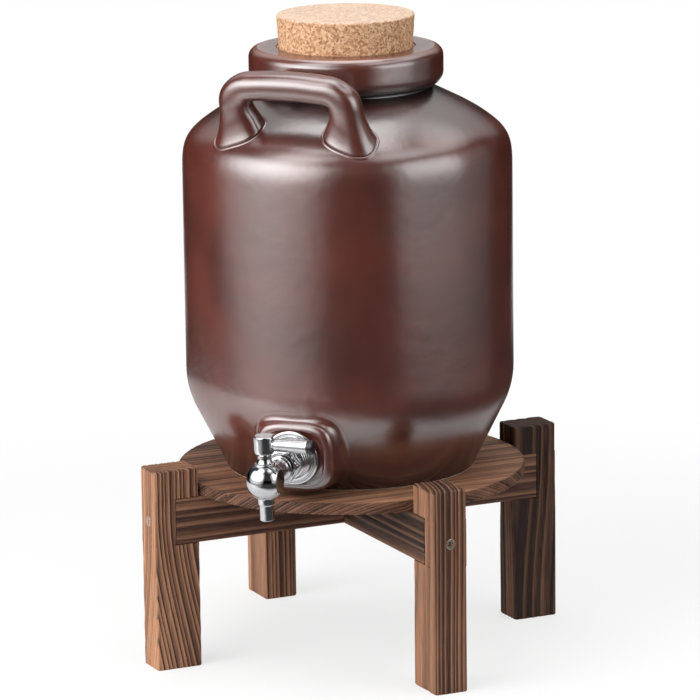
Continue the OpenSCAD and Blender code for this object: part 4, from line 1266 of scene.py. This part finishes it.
def screw_sheet(angle):
    """A screw head facing outwards at an angle round the stand, sunk by its cross recess."""
    face = np.linspace(AXIS_R, SCREW_R - 0.3, 26)
    shank = [[SCREW_R, -SCREW_EDGE], [SCREW_SHANK_R, -SCREW_CONE - SCREW_EDGE], [SCREW_SHANK_R, -SCREW_L],
             [AXIS_R, -SCREW_L]]
    head = turned(np.concatenate([np.column_stack([face, 0 * face]), shank]))
    x, y = np.abs(head[:len(face), :, 0]), np.abs(head[:len(face), :, 1])
    head[:len(face), :, 2] -= RECESS_DEEP * np.maximum(recess_arm(x, y), recess_arm(y, x))
    outwards, across = level_axes(angle)
    first = np.cos(SCREW_TURN) * across + np.sin(SCREW_TURN) * UPRIGHT
    axes = np.stack([first, np.cross(outwards, first), outwards])
    return head @ axes + outwards * (LEG_OUT - SCREW_SUNK) + SCREW_Z * UPRIGHT


screw_steel = steel_finish()
screw_sheets = [screw_sheet(angle) for angle in (45, 135, 225, 315)]
make_piece("leg_screws", screw_sheets, "stand", "leg_screws", screw_steel, 40)
dress("board_screws", screw_steel)

# %% [markdown]
# ## The tap
# The tap is turned brass with bright chrome plating. Plating is a mirror, so a plated piece is all about
# its outline: every groove, bead and softened edge bends the reflection. A faint grain in the roughness
# keeps it from looking like a perfect mirror. The lever's end cap and the seals are black. Plastic and
# rubber differ mainly in their gloss, so one function makes both.

# %% Chrome and rubber
CHROME_DARK, CHROME_PALE = srgb(186, 187, 189), srgb(200, 201, 203)
POLISH_SCALE, RIPPLE_SCALE, RIPPLE_HIGH = 700, 260, 0.00004
BLACK_SCALE, BLACK_SPREAD = 900, 1.6


def chrome_finish():
    """Bright plating with a slight unevenness of polish."""
    finish, tree, shader = new_finish("plated_metal", Metallic=1.0)
    place = object_place(tree)
    polish = noise(tree, place, POLISH_SCALE, 3)
    tree.links.new(ramp(tree, polish, (0.3, CHROME_DARK), (0.7, CHROME_PALE)), shader["Base Color"])
    tree.links.new(scaled(tree, polish, 0.06, 0.08), shader["Roughness"])
    tree.links.new(bump(tree, noise(tree, place, RIPPLE_SCALE, 2), RIPPLE_HIGH), shader["Normal"])
    return finish


def black_finish(name, roughness, colour):
    """A dark moulded finish with a fine mottle, up to BLACK_SPREAD times as bright as its colour."""
    finish, tree, shader = new_finish(name)
    mottle = noise(tree, object_place(tree), BLACK_SCALE, 3)
    paler = tuple(BLACK_SPREAD * part for part in colour[:3]) + (1.0,)
    tree.links.new(ramp(tree, mottle, (0.3, colour), (0.7, paler)), shader["Base Color"])
    tree.links.new(scaled(tree, mottle, 0.2, roughness), shader["Roughness"])
    return finish


plated_metal = chrome_finish()
cap_plastic = black_finish("cap_plastic", 0.12, srgb(20, 20, 22))
seal_rubber = black_finish("seal_rubber", 0.5, srgb(26, 26, 27))


def plated(name, body, sharp, *sheets):
    """A plated piece of the tap that stands for the node of its name."""
    make_piece(name, sheets, body, name, plated_metal, sharp)


print("finishes:", plated_metal.name, cap_plastic.name, seal_rubber.name)

# %% [markdown]
# On the shank, from the boss outwards, come the flange with its stepped rim, the ribbed sleeve and the
# coupling nut. The nut could be a six-sided cylinder with its corners cut, but it is a turned shape too:
# its radius is the smaller of a hexagon's and of a cone's that bevels the corners.

# %% Flange, sleeve and coupling nut
SHANK_R, FLANGE_S, FLANGE_R = 6.06, 1.5, 18.5
SLEEVE_S, SLEEVE_L, SLEEVE_R, SLEEVE_TAPER, RIBS, RIB_DEEP = 4.5, 8.0, 14.0, 2.0, 4, 1.3
NUT_S, NUT_L, NUT_AF, NUT_BEVEL, NUT_SIDES = 12.5, 9.5, 20.0, 1.2, 144
FINE_SIDES = 128


def nut_sheet(start, length, across_flats, bevel, bore):
    """A nut: radius min(hexagon, cone), where the hexagon is a / 2 over the cosine of the angle from a
    flat."""
    angle = full_turn(NUT_SIDES)
    flat = np.radians(60)
    hexagon = across_flats / 2 / np.cos((angle + flat / 2) % flat - flat / 2)
    corner = across_flats / 2 / np.cos(flat / 2)
    into = np.array([0, 0.3, 0.7, 1.1, 1.6])
    along = np.concatenate([into, length - into[::-1]])
    cone = corner - bevel * 1.6 * np.clip(1 - np.minimum(along, length - along) / bevel, 0, 1) ** 0.8
    outer = np.minimum(hexagon, cone[:, None])
    inner = np.full((2, NUT_SIDES + 1), bore)
    rows = np.concatenate([inner[:1], outer, inner])
    level = start + np.concatenate([[0], along, [length, 0]])
    return np.stack([rows * np.sin(angle), rows * np.cos(angle), level[:, None] + 0 * rows], axis=-1)


flange_line = rounded(
    [(SHANK_R, FLANGE_S), (17.6, FLANGE_S), (FLANGE_R, 2.2), (FLANGE_R, 3.2), (17.2, 3.9), (16.6, 3.3),
     (15.9, 3.3), (15.3, 4.3), (SHANK_R, SLEEVE_S), (SHANK_R, FLANGE_S)],
    [0, 0.4, 0.4, 0.6, 0.5, 0.25, 0.25, 0.4, 0, 0], step=12)
plated("tap_flange", "jar", 60, on_shank(turned(flange_line, FINE_SIDES)))

rib_share = np.linspace(0, 1, 97)
rib_groove = 1 - np.sqrt(np.abs(np.sin(np.pi * RIBS * rib_share)))
rib_out = SLEEVE_R - SLEEVE_TAPER * rib_share - RIB_DEEP * rib_groove
rib_line = np.concatenate([[[SHANK_R, SLEEVE_S]], np.column_stack([rib_out, SLEEVE_S + SLEEVE_L * rib_share]),
                           [[SHANK_R, SLEEVE_S + SLEEVE_L], [SHANK_R, SLEEVE_S]]])
plated("ribbed_sleeve", "jar", 50, on_shank(turned(rib_line, FINE_SIDES)))
plated("coupling_nut", "jar", 30, on_shank(nut_sheet(NUT_S, NUT_L, NUT_AF, NUT_BEVEL, SHANK_R)))

# %% [markdown]
# The body is a ball that is cut flat above, below and at its sides, on a shank with a small collar. A
# Boolean would leave the sides a sharp edge, so points beyond a flat are drawn back to it instead, which
# rounds the edge. The gland rises from the ball to the lever, and the spout hangs under it with a wider
# collar at its root.

# %% Body, gland and spout
BALL_R, BALL_TOP, BALL_LOW, BALL_SIDE, SPOUT_END = 13.0, 10.5, 11.6, 10.5, 27.0
BALL_SIDES, BALL_SOFT = 256, 0.4


def cut_sides(points, side, soft):
    """Points beyond a distance to either side brought back to a flat, with an edge rounded over a soft
    distance: beyond s - soft the distance is s - soft exp(-(x - s + soft) / soft)."""
    x = np.abs(points[..., 0])
    flat = side - soft * np.exp(-np.maximum(x - side + soft, 0) / soft)
    x = np.sign(points[..., 0]) * np.where(x > side - soft, flat, x)
    return np.stack([x, points[..., 1], points[..., 2]], axis=-1)


ball_turn = np.arange(np.arcsin(-BALL_LOW / BALL_R), np.arcsin(BALL_TOP / BALL_R), np.radians(1.5))
ball_line = np.concatenate(
    [[[AXIS_R, -BALL_LOW]], BALL_R * np.column_stack([np.cos(ball_turn), np.sin(ball_turn)]),
     [[np.sqrt(BALL_R ** 2 - BALL_TOP ** 2), BALL_TOP], [AXIS_R, BALL_TOP]]])
shank_line = rounded(
    [(AXIS_R, -22.0), (6.0, -22.0), (6.0, 23.2), (8.2, 23.2), (8.2, 25.4), (6.4, 26.4), (6.2, 36.0),
     (8.0, 43.5), (AXIS_R, 46.0)],
    [0, 0.6, 0, 0.5, 0.7, 1.0, 8.0, 1.0, 0], step=10)
plated("tap_body", "jar", 40, on_stem(cut_sides(turned(ball_line, BALL_SIDES), BALL_SIDE, BALL_SOFT)),
       on_shank(turned(spaced(shank_line, 3.0))))

gland_line = rounded(
    [(AXIS_R, 7.6), (5.4, 7.6), (5.4, BALL_TOP), (7.0, BALL_TOP), (7.0, 12.1), (5.4, 12.3), (4.3, 15.0),
     (4.3, 17.6), (4.0, 18.4), (3.3, 18.4), (3.3, 12.0), (AXIS_R, 12.0)],
    [0, 0, 0, 0.7, 0.7, 0.5, 3.0, 0.4, 0.3, 0, 0, 0], step=10)
plated("gland_nut", "jar", 40, on_stem(turned(gland_line)))

spout_line = rounded(
    [(AXIS_R, -BALL_LOW - 4), (3.0, -BALL_LOW - 4), (3.0, -SPOUT_END), (4.7, -SPOUT_END), (4.7, -16.3),
     (5.6, -15.9), (5.6, -BALL_LOW), (AXIS_R, -BALL_LOW)],
    [0, 0, 0.4, 0.7, 0.5, 0.5, 0.3, 0], step=10)
plated("tap_spout", "jar", 40, on_stem(turned(spout_line)))

# %% [markdown]
# The lever turns with the plug. It is a round hub with a bar that points sideways while the tap is shut, and
# a black cap closes the bar's end. No keyframes are set: the pieces ride on the lever's body.

# %% Lever
HUB_R, HUB_Z, HUB_H, BAR_R, BAR_END, CAP_L = 6.5, 18.8, 12.0, 4.6, 30.5, 4.0
HUB_TOP, CAP_END = HUB_Z + HUB_H, BAR_END + CAP_L
LEVER_Z = HUB_Z + HUB_H / 2


def on_lever(points):
    """Z runs out along the lever from the hub's axis, X up and Y to the front."""
    return BALL + LEVER_Z * UP + points @ np.stack([UP, OUT, SIDE])


hub_line = rounded(
    [(AXIS_R, HUB_Z), (HUB_R, HUB_Z), (HUB_R, HUB_TOP), (AXIS_R, HUB_TOP)], [0, 0.8, 1.0, 0], step=12)
plated("lever_hub", "lever", 50, on_stem(turned(spaced(hub_line, 2.0))))
bar_line = rounded(
    [(AXIS_R, 4.2), (2.8, 4.2), (2.8, 7.2), (4.0, 7.2), (BAR_R, BAR_END), (AXIS_R, BAR_END)],
    [0, 0, 0.3, 1.1, 0.3, 0], step=10)
plated("lever_bar", "lever", 50, on_lever(turned(spaced(bar_line, 3.0))))
cap_line = rounded(
    [(AXIS_R, BAR_END), (BAR_R, BAR_END), (BAR_R, CAP_END), (AXIS_R, CAP_END)], [0, 0.3, 0.8, 0], step=10)
cap_sheet = on_lever(turned(spaced(cap_line, 1.0)))
make_piece("lever_end_cap", [cap_sheet], "lever", "lever_end_cap", cap_plastic, 50)

# %% [markdown]
# ## Pieces inside
# The rings and the nut inside the jar, the plug and its seals could be made anew like the rest, but
# hardly anything of them shows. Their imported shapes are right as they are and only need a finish.

# %% Inner pieces
INNER_FINISHES = {"flange_gasket": seal_rubber, "inner_gasket": seal_rubber, "plug_o_rings": seal_rubber,
                  "inner_washer": screw_steel, "lock_nut": screw_steel, "valve_plug": plated_metal}
for node, finish in INNER_FINISHES.items():
    dress(node, finish)
print("inner pieces:", ", ".join(INNER_FINISHES))
